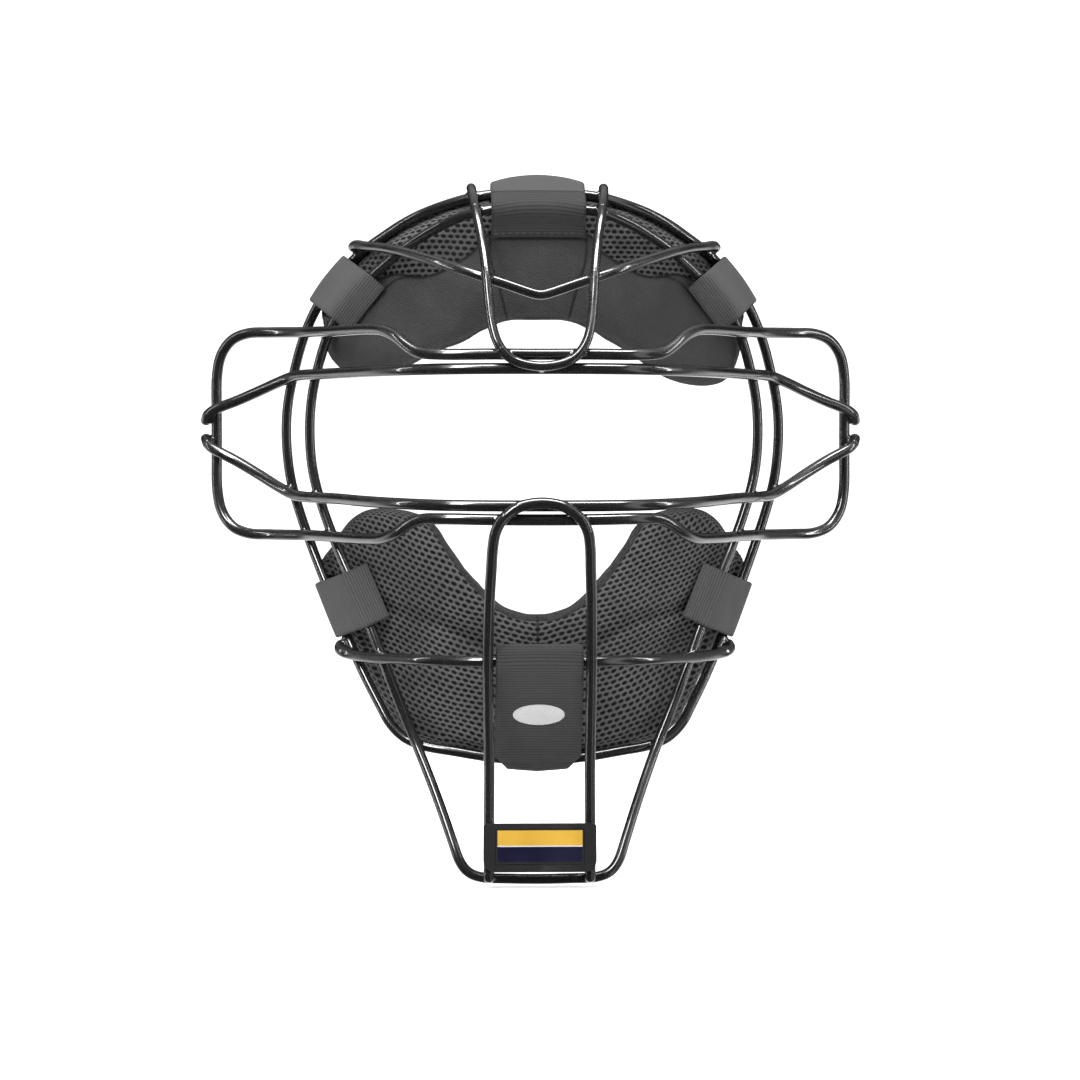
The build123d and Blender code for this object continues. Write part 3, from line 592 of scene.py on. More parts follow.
def smooth(o):
    o.data.polygons.foreach_set("use_smooth", [True] * len(o.data.polygons))
    o.data.update()


def new_object(name, points, faces):
    mesh = bpy.data.meshes.new(name)
    mesh.from_pydata(np.asarray(points).tolist(), [], faces)
    mesh.update()
    return link_mesh(name, mesh)


def link_mesh(name, mesh):
    o = bpy.data.objects.new(name, mesh)
    bpy.context.scene.collection.objects.link(o)
    return o


def face_outward(o, triangulate=False, merge=False):
    """Turn all faces outward, first splitting faces or joining doubled points if asked."""
    bm = bmesh.new()
    bm.from_mesh(o.data)
    if triangulate:
        bmesh.ops.triangulate(bm, faces=bm.faces[:])
    if merge:
        bmesh.ops.remove_doubles(bm, verts=bm.verts[:], dist=1e-6)
    bmesh.ops.recalc_face_normals(bm, faces=bm.faces[:])
    bm.to_mesh(o.data)
    bm.free()


def bake(o):
    """Apply every modifier of o."""
    depsgraph = bpy.context.evaluated_depsgraph_get()
    mesh = bpy.data.meshes.new_from_object(o.evaluated_get(depsgraph))
    o.modifiers.clear()
    old = o.data
    o.data = mesh
    bpy.data.meshes.remove(old)


def add_weave_map(o, uv):
    """UV map from one (u, v) per vertex."""
    layer = o.data.uv_layers.new(name="weave")
    index = np.zeros(len(o.data.loops), np.int64)
    o.data.loops.foreach_get("vertex_index", index)
    layer.data.foreach_set("uv", uv[index].astype(np.float32).ravel())


def add_attribute(o, name, values):
    attribute = o.data.attributes.new(name, "FLOAT", "POINT")
    attribute.data.foreach_set("value", values.astype(np.float32))


def get_co(o):
    co = np.zeros(len(o.data.vertices) * 3)
    o.data.vertices.foreach_get("co", co)
    return co.reshape(-1, 3)


def set_co(o, co):
    o.data.vertices.foreach_set("co", co.astype(np.float32).ravel())
    o.data.update()


def edges_of(o):
    edges = np.zeros(len(o.data.edges) * 2, np.int64)
    o.data.edges.foreach_get("vertices", edges)
    return edges.reshape(-1, 2)


def relax(co, edges, times, share, mask=None):
    """Move each point a share of the way to the mean of its neighbours."""
    degree = np.bincount(edges.ravel(), minlength=len(co)).astype(float)[:, None]
    for _ in range(times):
        total = np.zeros_like(co)
        np.add.at(total, edges[:, 0], co[edges[:, 1]])
        np.add.at(total, edges[:, 1], co[edges[:, 0]])
        move = (total / np.maximum(degree, 1) - co) * share
        if mask is not None:
            move *= mask[:, None]
        co = co + move
    return co


def arc_lengths(points):
    steps = np.linalg.norm(np.diff(points, axis=0), axis=1)
    return np.concatenate([[0], np.cumsum(steps)])


def spread(points, count):
    """`count` evenly spaced points on the same path."""
    lengths = arc_lengths(points)
    where = np.linspace(0, lengths[-1], count)
    return np.column_stack([np.interp(where, lengths, column) for column in points.T])


def tube_faces(rings, sides, closed=False, base=0):
    """Faces of a tube; an open one gets end caps."""
    faces = []
    for g in range(rings if closed else rings - 1):
        a, b = base + g * sides, base + (g + 1) % rings * sides
        for k in range(sides):
            k2 = (k + 1) % sides
            faces.append([a + k, a + k2, b + k2, b + k])
    if not closed:
        faces.append([base + k for k in range(sides)][::-1])
        faces.append([base + (rings - 1) * sides + k for k in range(sides)])
    return faces


def sheet_faces(rows, columns):
    """Closed faces over two grids of points; each grid lies row after row."""
    def at(i, j, side):
        return (side * rows + i) * columns + j

    last_i, last_j = rows - 1, columns - 1
    faces = []
    for i in range(last_i):
        for j in range(last_j):
            faces.append([at(i, j, 0), at(i, j + 1, 0), at(i + 1, j + 1, 0), at(i + 1, j, 0)])
            faces.append([at(i, j, 1), at(i + 1, j, 1), at(i + 1, j + 1, 1), at(i, j + 1, 1)])
    for j in range(last_j):
        faces.append([at(0, j, 0), at(0, j, 1), at(0, j + 1, 1), at(0, j + 1, 0)])
        faces.append([at(last_i, j, 0), at(last_i, j + 1, 0),
                      at(last_i, j + 1, 1), at(last_i, j, 1)])
    for i in range(last_i):
        faces.append([at(i, 0, 0), at(i + 1, 0, 0), at(i + 1, 0, 1), at(i, 0, 1)])
        faces.append([at(i, last_j, 0), at(i, last_j, 1),
                      at(i + 1, last_j, 1), at(i + 1, last_j, 0)])
    return faces


def smoothstep(x):
    x = np.clip(x, 0, 1)
    return x * x * (3 - 2 * x)


def unit_rows(vectors, least):
    """Rows scaled to length 1; rows no longer than `least` become 0."""
    length = np.linalg.norm(vectors, axis=1, keepdims=True)
    return np.where(length > least, vectors / np.maximum(length, least), 0.0)


# ------------------------------------------------------------------ cage wires and badge
WIRE_STEP, WIRE_SIDES, WIRE_ROUNDING = 0.9, 28, 6
CAP_ANGLES = (85, 65, 45, 22)        # degrees of the rings of a rounded end, tip first
CAP_LENGTH = 0.8                     # of the wire's radius


def even_steps(line, closed):
    path = np.vstack([line, line[:1]]) if closed else line
    points = spread(path, int(round(arc_lengths(path)[-1] / WIRE_STEP)) + 1)
    return points[:-1] if closed else points


def round_bends(line, closed):
    for _ in range(WIRE_ROUNDING):
        rounded = (np.roll(line, 1, axis=0) + 2 * line + np.roll(line, -1, axis=0)) / 4
        if not closed:
            rounded[0], rounded[-1] = line[0], line[-1]
        line = rounded
    return line


def wire_frames(points, closed):
    """Tangents and two cross directions, turning as little as possible along the wire."""
    if closed:
        tangents = np.roll(points, -1, axis=0) - np.roll(points, 1, axis=0)
    else:
        tangents = np.gradient(points, axis=0)
    tangents /= np.linalg.norm(tangents, axis=1, keepdims=True)
    first = tangents[0]
    u = np.cross(first, [0.0, 0.0, 1.0])
    if np.linalg.norm(u) < 0.2:
        u = np.cross(first, [0.0, 1.0, 0.0])
    U = np.zeros_like(points)
    for i, tangent in enumerate(tangents):
        u = u - tangent * (u @ tangent)
        u /= np.linalg.norm(u)
        U[i] = u
    if closed:                       # share the leftover twist round the loop
        last = u - first * (u @ first)
        last /= np.linalg.norm(last)
        twist = math.atan2(last @ np.cross(first, U[0]), last @ U[0])
        for i, tangent in enumerate(tangents):
            angle = -twist * i / len(points)
            U[i] = U[i] * math.cos(angle) + np.cross(tangent, U[i]) * math.sin(angle)
    return tangents, U, np.cross(tangents, U)


def wire_piece(name, line, radius, closed, material):
    """Round coated wire along a path, with rounded ends."""
    points = round_bends(even_steps(line, closed), closed)
    T, U, V = wire_frames(points, closed)

    def cap(i, direction, angles):
        rings = []
        for angle in map(math.radians, angles):
            centre = points[i] + direction * T[i] * radius * CAP_LENGTH * math.sin(angle)
            rings.append((centre, U[i], V[i], radius * math.cos(angle)))
        return rings

    rings = [(points[i], U[i], V[i], radius) for i in range(len(points))]
    if not closed:
        rings = cap(0, -1, CAP_ANGLES) + rings + cap(-1, 1, CAP_ANGLES[::-1])
    verts = []
    for centre, u, v, r in rings:
        for k in range(WIRE_SIDES):
            angle = 2 * math.pi * k / WIRE_SIDES
            verts.append(centre + (u * math.cos(angle) + v * math.sin(angle)) * r)
    o = new_object(name + "_smooth", to_row(verts), tube_faces(len(rings), WIRE_SIDES, closed))
    face_outward(o)
    smooth(o)
    set_material(o, material)
    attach(o, "cage")
    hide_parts(name)


MAT_WIRE = wire_material()
MAT_PLATE = plate_material()
MAT_STEEL = steel_material()

for wire_name, (curve, wire_radius, is_closed) in WIRES.items():
    wire_piece(wire_name, curve, wire_radius, is_closed, MAT_WIRE)
for badge_part in ("badge_plate", "badge_clamp_bar"):
    set_material(NODES[badge_part], MAT_PLATE)
set_material(NODES["badge_label"], label_material(*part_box("badge_label")))
set_material(NODES["badge_screws"], MAT_STEEL)


# ------------------------------------------------------------------ cushions
# A cushion is made flat (u, depth, v): u is arc length across, v is z and depth runs back.
# It is then bent round the head to y = front + CURVE * x * x.
CURVE = 0.0062
TOP_FRONT, CHIN_FRONT = -69.2, -64.0     # y that the strap ends land on, at x = 0
CUSHION_INSET = 0.6                      # cushion front behind those
CUSHION_T = 25.6
MID = CUSHION_T / 2
CUSHION_VOXEL = 0.0038                   # metres
WELT_INSET = 8.5                         # welt on the back, from the outline

ARC_X = np.linspace(-125, 125, 1001)
ARC = arc_lengths(np.column_stack([ARC_X, CURVE * ARC_X ** 2]))
ARC -= np.interp(0, ARC_X, ARC)

# Half outlines; columns x, z
TOP_OUT = [
    (0, 48.6), (11, 48.6), (16.5, 47.3), (22.5, 44.4), (33, 38.6), (38.5, 35.8),
    (46, 30.6), (50.5, 27.4), (56, 24.4), (64, 22.0), (72, 21.0), (79, 21.6), (84.4, 23.8),
    (88.2, 28.0), (90.8, 34.0), (92.2, 41), (91.4, 48.2), (88.6, 55.5), (82.0, 65.4),
    (72.6, 74.1), (62.0, 81.4), (53.8, 87.7), (43.2, 92.2), (26.8, 96.9), (14.5, 98.2),
    (0, 98.7)]
CHIN_OUT = [
    (0, -77.3), (9, -76.2), (17, -72.2), (25.5, -63.8), (31, -57.4), (36.8, -49.4),
    (42.4, -40.8), (47.5, -36.2), (53.5, -33.8), (60, -32.8), (68, -32.3), (76, -34.4),
    (83, -40.2), (88.4, -48.6), (90.6, -57.0), (88.4, -66.0), (80.2, -79.7),
    (71.2, -99.6), (63.2, -114.8), (59.4, -121.4), (54.2, -126.3), (46.6, -129.4),
    (35.2, -131.4), (19.6, -133.7), (0, -134.9)]
YOKE_OUT = [
    (0, 38.0), (14, 37.0), (24, 30.0), (34, 24.0), (44, 17.0), (54, 13.0), (66, 11.0),
    (80, 11.0), (94, 15.0), (100, 24.0), (97, 31.0), (92, 38.0), (87.5, 45.0), (83.5, 52.0),
    (78.0, 59.5), (69.0, 66.0), (60.6, 68.6), (49, 67.0), (41, 69.0), (34.4, 72.6),
    (26.7, 77.8), (22.0, 84.0), (12, 84.6), (0, 84.8)]
# Open lines on the +x half of the fronts; columns x, z
TOP_SEAMS = [
    [(20.4, 83.0), (20.2, 74.0), (16.5, 62.0), (12.9, 48.0)],
    [(51.0, 68.0), (56.0, 67.4), (62.4, 64.9), (70.1, 56.3), (76.1, 50.7), (80.0, 44.0)]]
CHIN_SEAMS = [[(0.0, -74.0), (0.0, -84.0), (0.0, -93.0)]]
CHIN_CREASE = np.array([
    (21.0, -91.0), (30.0, -87.0), (38.0, -82.0), (46.0, -79.2), (56.0, -78.0), (66.0, -75.0),
    (74.0, -68.0)])


def x_to_u(x):
    return np.interp(x, ARC_X, ARC)


def u_to_x(u):
    return np.interp(u, ARC, ARC_X)


def flatten(line):
    return np.column_stack([x_to_u(line[:, 0]), line[:, 1]])


def loop_line(half):
    return catmull(list(half) + mirrored(half)[1:-1], True, per=5)


def nearest(points, line, closed=True):
    """Distance, arc position and place of the nearest point on a polyline."""
    starts = line if closed else line[:-1]
    ends = np.roll(line, -1, axis=0) if closed else line[1:]
    lengths = np.linalg.norm(ends - starts, axis=1)
    arc_starts = np.concatenate([[0], np.cumsum(lengths)[:-1]])
    best = np.full(len(points), 1e9)
    arc = np.zeros(len(points))
    foot = np.zeros((len(points), 2))
    for start, end, length, arc_start in zip(starts, ends, lengths, arc_starts):
        d = end - start
        t = np.clip(((points - start) @ d) / max(length ** 2, 1e-9), 0, 1)
        place = start + t[:, None] * d
        distance = np.linalg.norm(points - place, axis=1)
        closer = distance < best
        best[closer] = distance[closer]
        arc[closer] = arc_start + t[closer] * length
        foot[closer] = place[closer]
    return best, arc, foot


def distance_to(points, line, closed=True):
    return nearest(points, line, closed)[0]


def inside_sign(points, line):
    """1 inside a closed outline, -1 outside."""
    result = np.zeros(len(points), bool)
    xj, yj = line[-1]
    for xi, yi in line:
        crosses = (yi > points[:, 1]) != (yj > points[:, 1])
        with np.errstate(divide="ignore", invalid="ignore"):
            t = (xj - xi) * (points[:, 1] - yi) / (yj - yi) + xi
        result ^= crosses & (points[:, 0] < t)
        xj, yj = xi, yi
    return np.where(result, 1.0, -1.0)


def slab_object(name, outline):
    """Closed flat slab of an outline, evenly remeshed, in metres."""
    n = len(outline)
    verts = [(u * 0.001, depth * 0.001, v * 0.001)
             for depth in (0.0, CUSHION_T) for u, v in outline]
    faces = [list(range(n)), list(range(2 * n - 1, n - 1, -1))]
    for i in range(n):
        j = (i + 1) % n
        faces.append([j, i, n + i, n + j])
    o = new_object(name, verts, faces)
    face_outward(o, triangulate=True)
    remesh = o.modifiers.new("remesh", "REMESH")
    remesh.mode = "VOXEL"
    remesh.voxel_size = CUSHION_VOXEL
    bake(o)
    return o


def inflate(o, pins, pressure, cap, frames=20):
    """Cloth pressure on a closed cushion, with its seams pinned; no point moves over `cap`."""
    scene = bpy.context.scene
    rest = get_co(o)
    group = o.vertex_groups.new(name="pin")
    for i, weight in enumerate(pins):
        if weight > 0.01:
            group.add([i], float(weight), "REPLACE")
    cloth = o.modifiers.new("cloth", "CLOTH")
    settings = cloth.settings
    settings.quality = 5
    settings.mass = 0.3
    settings.tension_stiffness = 12
    settings.compression_stiffness = 12
    settings.shear_stiffness = 6
    settings.bending_stiffness = 0.6
    settings.tension_damping = settings.compression_damping = 8
    settings.vertex_group_mass = "pin"
    settings.use_pressure = True
    settings.uniform_pressure_force = pressure
    settings.shrink_min = -0.035
    settings.effector_weights.gravity = 0.0
    cloth.collision_settings.use_collision = False
    cloth.point_cache.frame_start, cloth.point_cache.frame_end = 1, frames
    scene.frame_start, scene.frame_end = 1, frames
    for f in range(1, frames + 1):
        scene.frame_set(f)
    evaluated = o.evaluated_get(bpy.context.evaluated_depsgraph_get())
    mesh = evaluated.to_mesh()
    co = np.zeros(len(mesh.vertices) * 3)
    mesh.vertices.foreach_get("co", co)
    move = co.reshape(-1, 3) - rest
    evaluated.to_mesh_clear()
    o.modifiers.clear()
    o.vertex_groups.clear()
    length = np.linalg.norm(move, axis=1)
    share = np.where(length > cap, cap / np.maximum(length, 1e-9), 1.0)
    set_co(o, rest + move * share[:, None])
    scene.frame_set(1)


def press_tree(objects):
    """Search tree over the rim wires of the CAD cage and the given objects."""
    wires = [NODES[n].data for n in
             ("rear_ring_wire", "front_ring_throat_wire", "forehead_v_wire")]
    parts = [(mesh, [v.co.copy() for v in mesh.vertices]) for mesh in wires]
    parts += [(o.data, [o.matrix_world @ v.co for v in o.data.vertices]) for o in objects]
    verts, faces = [], []
    for mesh, points in parts:
        base = len(verts)
        verts += points
        faces += [[base + i for i in p.vertices] for p in mesh.polygons]
    return BVHTree.FromPolygons(verts, faces)


def reach_ring(outline, reach=7.6, blend=2.2, gap=2.25):
    """Move the outline to `gap` from the rear wire where it runs close beside it."""
    ring = WIRES["rear_ring_wire"].curve[:, [0, 2]]
    moved = outline.copy()
    for i, point in enumerate(outline):
        away = point - ring
        r = np.linalg.norm(away, axis=1)
        k = int(np.argmin(r))
        beside = ring[k] + away[k] / max(r[k], 1e-6) * gap
        moved[i] = point + (beside - point) * smoothstep((reach - r[k]) / blend)
    return moved


class Cushion:
    """Soft cushion; all its lines are kept in the flat (u, v) frame."""

    def __init__(self, name, outline, front, inner, yoke=None, tape_width=2.8, tilt=0.0,
                 seams=(), grooves=(), channels=()):
        """inner(u, v) is 1 on the inner edge, which is taped; grooves are (line, width,
        depth) on the front; channels are the |x| of upright channels in the back."""
        self.name, self.front, self.inner = name, front, inner
        self.flat = flatten(reach_ring(outline))
        self.yoke = None if yoke is None else flatten(yoke)
        self.tape_width, self.tilt = tape_width, tilt
        self.seams = [flatten(catmull([(x * sign, z) for x, z in line], False, per=6))
                      for line in seams for sign in (1, -1)]
        self.grooves = [(flatten(line), width, depth) for line, width, depth in grooves]
        self.channels = [sign * x_to_u(x) for x in channels for sign in (1, -1)]

    def build(self):
        self.o = slab_object(self.name, self.flat)
        self.puff_up()
        subdivision = self.o.modifiers.new("sub", "SUBSURF")
        subdivision.levels = subdivision.render_levels = 2
        bake(self.o)
        self.edges = edges_of(self.o)
        co = get_co(self.o) * 1000
        self.fill_outline(co)
        self.shape_surface(co)
        self.bend(co)

    def puff_up(self):
        """Round the slab, thin it towards its edge and inflate it."""
        o = self.o
        edges = edges_of(o)
        co = relax(get_co(o), edges, times=9, share=0.5)
        points = co[:, [0, 2]] * 1000
        distance = distance_to(points, self.flat)
        depth = co[:, 1] * 1000
        squeeze = 1 - 0.20 * np.exp(-distance / 6.0)
        co[:, 1] = (MID + (depth - MID) * squeeze) / 1000
        set_co(o, co)
        in_front = depth < MID
        near_face = np.abs(co[:, 1] * 1000 - MID) > MID - 7.0
        pins = np.where((distance < 3.4) & near_face, 0.9, 0.0)
        if self.yoke is not None:
            to_yoke = distance_to(points, self.yoke)
            pinned = (to_yoke < 2.4) & in_front & (distance > 4)
            pins = np.maximum(pins, np.where(pinned, 0.75, 0.0))
        for line, _, _ in self.grooves:
            to_groove = distance_to(points, line, closed=False)
            pins = np.maximum(pins, np.where((to_groove < 2.6) & in_front, 0.8, 0.0))
        inflate(o, pins, pressure=4.0, cap=0.0032)
        set_co(o, relax(get_co(o), edges, times=2, share=0.4))

    def fill_outline(self, co, bins=160, reach=9.0):
        """Bring the fullest part of the side wall out to the outline."""
        flat = self.flat
        total = np.linalg.norm(np.roll(flat, -1, axis=0) - flat, axis=1).sum()
        middles = np.arange(-1, bins + 1) + 0.5
        for turn in range(3):
            points = co[:, [0, 2]]
            distance, arc, foot = nearest(points, flat)
            side = inside_sign(points, flat)
            signed = distance * side
            place = arc / total * bins
            low = np.full(bins, 1e9)
            np.minimum.at(low, np.minimum(place.astype(int), bins - 1), signed)
            low = np.where(low > 20, 0.0, low)
            for _ in range(4 - turn):
                low = (np.roll(low, 1) + 2 * low + np.roll(low, -1)) / 4
            shift = np.interp(place, middles, np.concatenate([[low[-1]], low, [low[0]]]))
            outward = unit_rows(points - foot, least=1e-4) * -side[:, None]
            co[:, [0, 2]] += outward * (shift * smoothstep((reach - signed) / reach))[:, None]

    def shape_surface(self, co):
        """Sink the sewn lines, and work out the attributes and the weave map."""
        points = co[:, [0, 2]]
        depth = co[:, 1]             # a view, so it follows every change below
        distance, _, foot = nearest(points, self.flat)
        frontness = np.clip((MID - depth) / MID * 1.6, 0, 1)
        if self.yoke is not None:
            to_yoke = distance_to(points, self.yoke)
            self.yoke_inset = to_yoke * inside_sign(points, self.yoke)
            depth += frontness * 1.15 * np.exp(-(to_yoke / 1.5) ** 2)
            depth -= frontness * 0.55 * np.clip(self.yoke_inset / 2.0, 0, 1)
        for line, width, sink in self.grooves:
            to_groove = distance_to(points, line, closed=False)
            depth += frontness * sink * np.exp(-(to_groove / width) ** 2)
        self.swell_back(co, distance)
        for line in self.seams:
            to_seam = distance_to(points, line, closed=False)
            self.seam = np.minimum(self.seam, np.where(depth < MID, to_seam, 9.0))
        depth += frontness * 0.75 * np.exp(-self.seam ** 2)
        # edge tape on the inner rim and wall, brushed lining on the back
        inner = self.inner(foot[:, 0], foot[:, 1])
        tape_front = np.clip((self.tape_width - distance) / 1.2 + 0.5, 0, 1) * inner
        tape_side = np.clip((depth - 7.0) / 2.5, 0, 1) * np.where(inner > 0.5, 1.0, 0.0)
        tape_back = np.clip((depth - (CUSHION_T - 6.5)) / 2.0, 0, 1)
        self.tape = np.maximum(np.maximum(tape_front, tape_side), tape_back)
        # groove just inside the tape
        groove = np.exp(-(distance - self.tape_width - 0.2) ** 2) * inner * frontness
        depth += groove * 0.6
        # the weave map keeps running round the rim
        outward = unit_rows(points - foot, least=1e-6) * -inside_sign(points, self.flat)[:, None]
        over = np.clip(4.0 - distance, 0, 4) / 4.0
        uv = points + outward * (np.clip(depth - 2.0, 0, None) * over)[:, None]
        uv[:, 1] -= self.tilt * np.sqrt(uv[:, 0] ** 2 + 4.0)
        self.uv = uv
        self.frontness = frontness

    def swell_back(self, co, distance):
        """Fuller back with a sunk welt and channels; starts the seam distances."""
        depth = co[:, 1]
        back = np.clip((depth - MID) / MID * 1.6, 0, 1)
        depth += back * 2.6 * (1 - np.exp(-np.clip(distance - 1.0, 0, None) / 6.0))
        welt = np.abs(distance - WELT_INSET)
        channel = np.full(len(co), 99.0)
        for u in self.channels:
            beside = np.where(distance > WELT_INSET, np.abs(co[:, 0] - u), 99.0)
            channel = np.minimum(channel, beside)
        depth -= back * np.maximum(1.5 * np.exp(-(welt / 1.5) ** 2),
                                   1.9 * np.exp(-(channel / 1.9) ** 2))
        self.seam = np.where(depth > MID + 4, np.minimum(welt, channel), 9.0)

    def bend(self, co):
        """Bend the flat cushion round the head and swell its edge under the rear wire."""
        swell_reach, swell = 9.5, 1.75
        distance = distance_to(co[:, [0, 2]], self.flat)
        x = u_to_x(co[:, 0])
        y = self.front + CURVE * x * x + co[:, 1]
        z = co[:, 2].copy()
        ring = WIRES["rear_ring_wire"].curve
        for i in np.nonzero(distance < 14)[0]:
            dx, dz = ring[:, 0] - x[i], ring[:, 2] - z[i]
            k = int(np.argmin(dx * dx + dz * dz))
            r = math.hypot(dx[k], dz[k])
            if r > swell_reach:
                continue
            near = smoothstep((swell_reach - r) / 6.5)
            behind = smoothstep((y[i] - ring[k, 1] - 0.6) / 2.6)
            move = min(swell * near * behind, max(r - 0.3, 0.0))
            x[i] += dx[k] / max(r, 1e-6) * move
            z[i] += dz[k] / max(r, 1e-6) * move
        self.depth = co[:, 1]
        set_co(self.o, to_row(np.column_stack([x, y, z])))

    def press(self, tree, clear=0.00025, probe=0.012, reach=0.0165, rounds=4):
        """The front gives way behind the wires and strap ends on it; lengths in metres."""
        co = get_co(self.o)
        hit = np.zeros(len(co))
        forward = Vector((0, -1, 0))
        for turn in range(rounds):
            for i in np.nonzero(self.frontness > 0.02)[0]:
                x, y, z = co[i]
                place = tree.ray_cast(Vector((x, y + probe, z)), forward, reach)[0]
                if place is not None and place.y + clear > y:
                    co[i, 1] = place.y + clear
                    hit[i] = 1.0
            if turn < rounds - 1:
                near = relax(hit[:, None], self.edges, times=3, share=0.5)[:, 0]
                mask = np.clip(near * 2, 0, 1)
                co = relax(co, self.edges, times=1, share=0.5, mask=mask)
        set_co(self.o, co)

    def finish(self, material, nodes):
        o = self.o
        add_weave_map(o, self.uv)
        add_attribute(o, "tape", self.tape)
        add_attribute(o, "seam", self.seam)
        if self.yoke is not None:
            add_attribute(o, "yoke", np.where(self.depth < MID, self.yoke_inset, -5.0))
        smooth(o)
        set_material(o, material)
        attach(o, "cage")
        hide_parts(*nodes)


# ------------------------------------------------------------------ straps
# A strap is drawn in sections through its station: a runs inward and y back from the station,
# s along the wire.
STRAP_T, HOOK_T = 1.8, 0.8
STRAP_STEP = 0.75                    # between points along a strap
WIRE_GAP, CHIN_BAR_GAP = 0.25, 0.3   # strap to wire
LEAF_GAP, HOOK_GAP = 0.45, 0.35      # strap end less its hook tape, and hook tape, to landing
UPPER_Z, LOWER_Z = 66.0, -75.6       # heights of the side straps
TOP_WIDTH = 40.0
FOLD_A, FOLD_Y = -3.9, 2.0           # fold behind the rear wire
FLAP_R = 60.5                        # radius of the chin flap's end about its fold
RIBBED_FROM = 0.60                   # share of a side strap's length where its ribs start
# Tail behind the rear wire, from its loose end; columns a, y
TAIL = [(4.4, 9.6), (1.6, 7.4), (-1.6, 5.4)]

# place on the rear wire, direction along it, outward direction, and nearby wires
Station = namedtuple("Station", "place along outward rear front")
Strap = namedtuple("Strap", "material width columns end hook_start hook_end hook_width "
                            "sew_inset sew_half stitch gap thread")
# middle sheet, its normals and half thicknesses, positions across (s) and along
Sheet = namedtuple("Sheet", "middle normal half across along")


def stations():
    rear, front = (catmull([(x, y, z) for x, z, y in half], False, per=24)
                   for half in (REAR_RING, FRONT_RING))

    def both(line):
        return np.concatenate([line[::-1] * [-1, 1, 1], line[1:]])

    def side(height, sign):
        i = min(range(4, len(rear) - 4), key=lambda k: abs(rear[k][2] - height))
        along = rear[i + 20] - rear[i - 20]
        along = along / np.linalg.norm(along)
        outward = np.array([-along[2], 0, along[0]])
        outward /= np.linalg.norm(outward)
        if outward[0] < 0:
            outward = -outward
        return Station(*(v * [sign, 1, 1] for v in (rear[i], along, outward, rear, front)))

    rear_both, front_both = both(rear), both(front)
    across = np.array([1.0, 0, 0])
    top = Station(rear[0], across, np.array([0, 0, 1.0]),
                  rear_both[rear_both[:, 2] > 60], front_both[front_both[:, 2] > 60])
    bottom = rear_both[(rear_both[:, 2] < -120) & (np.abs(rear_both[:, 0]) < 45)]
    return {
        "upper_right_strap": side(UPPER_Z, 1), "upper_left_strap": side(UPPER_Z, -1),
        "lower_right_strap": side(LOWER_Z, 1), "lower_left_strap": side(LOWER_Z, -1),
        "top_strap": top,
        "chin_flap": Station(rear[-1], across, np.array([0, 0, -1.0]), bottom, None)}


STATIONS = stations()


def cross_at(ring, station, s=0.0):
    """(a, y) of a wire in the section plane at s."""
    origin = station.place + station.along * s
    level = np.array([station.along[0], 0, station.along[2]])
    level /= np.linalg.norm(level)
    near = ring[np.linalg.norm(ring - origin, axis=1) < 48]
    k = (near - origin) @ level
    i = int(np.argmin(np.abs(k)))
    best = near[i]
    for j in (i - 1, i + 1):         # refine between neighbours on either side of the plane
        if 0 <= j < len(near) and k[i] * k[j] < 0:
            best = near[i] + (near[j] - near[i]) * (k[i] / (k[i] - k[j]))
    return float((origin - best) @ station.outward), float(best[1] - origin[1])


def pad_y(key, a, s):
    """y of the landing surface on the cushion at (a, s)."""
    station = STATIONS[key]
    origin = station.place + station.along * s
    front = TOP_FRONT if key.startswith(("top", "upper")) else CHIN_FRONT
    x = origin[0] - a * station.outward[0]
    return front + CURVE * x * x - origin[1]


def tail_section(a_rear, y_rear, lift=0.0):
    """From the loose tail to the side of the rear wire."""
    fold = FOLD_A + 0.1 + a_rear - lift
    line = [(a + a_rear, y + y_rear) for a, y in TAIL]
    return line + [(fold + 0.7, 3.6 + y_rear), (fold, FOLD_Y - 0.4 + y_rear),
                   (fold, 0.1 + y_rear)]


def around(centre, radius, direction):
    length = math.hypot(*direction)
    return (centre[0] + radius * direction[0] / length,
            centre[1] + radius * direction[1] / length)


def rim_section(key, s, end):
    """Tail, over the rear and front wires, and down to the cushion at a = end."""
    station = STATIONS[key]
    top = key == "top_strap"
    lift = 0.6 + 2.4 * (1 - (s / (TOP_WIDTH / 2)) ** 2) if top else 0.0
    rear = cross_at(station.rear, station, s)
    front = cross_at(station.front, station, s)
    r = RING_R + WIRE_GAP + STRAP_T / 2
    line = tail_section(*rear, lift)
    # (mx, my) is square to the run between the wires, towards the front
    da, dy = front[0] - rear[0], front[1] - rear[1]
    mx, my = dy / math.hypot(da, dy), -da / math.hypot(da, dy)
    if my > 0:
        mx, my = -mx, -my
    for k in (0.45, 1.0):
        line.append(around(rear, r + lift, (-1 + (mx + 1) * k, my * k)))
    line.append(((line[-1][0] + front[0] + r * mx) / 2,
                 (line[-1][1] + front[1] + r * my) / 2 + 0.2 - lift * 0.25))
    for k in (0.0, 0.55):
        line.append(around(front, r, (mx + (0.15 - mx) * k, my + (-1 - my) * k)))
    drop = LEAF_GAP + HOOK_T + STRAP_T / 2
    if top:
        line.append((front[0] + r * 0.55, front[1] - r * 0.80))
        line.append((front[0] + r * 1.05, front[1] - r * 0.30))
        a = front[0] + 6.4
        line.append((a, pad_y(key, a, s) - drop - 0.3))
        line.append((end - 3.0, pad_y(key, end - 3.0, s) - drop))
    line.append((end, pad_y(key, end, s) - drop))
    return line


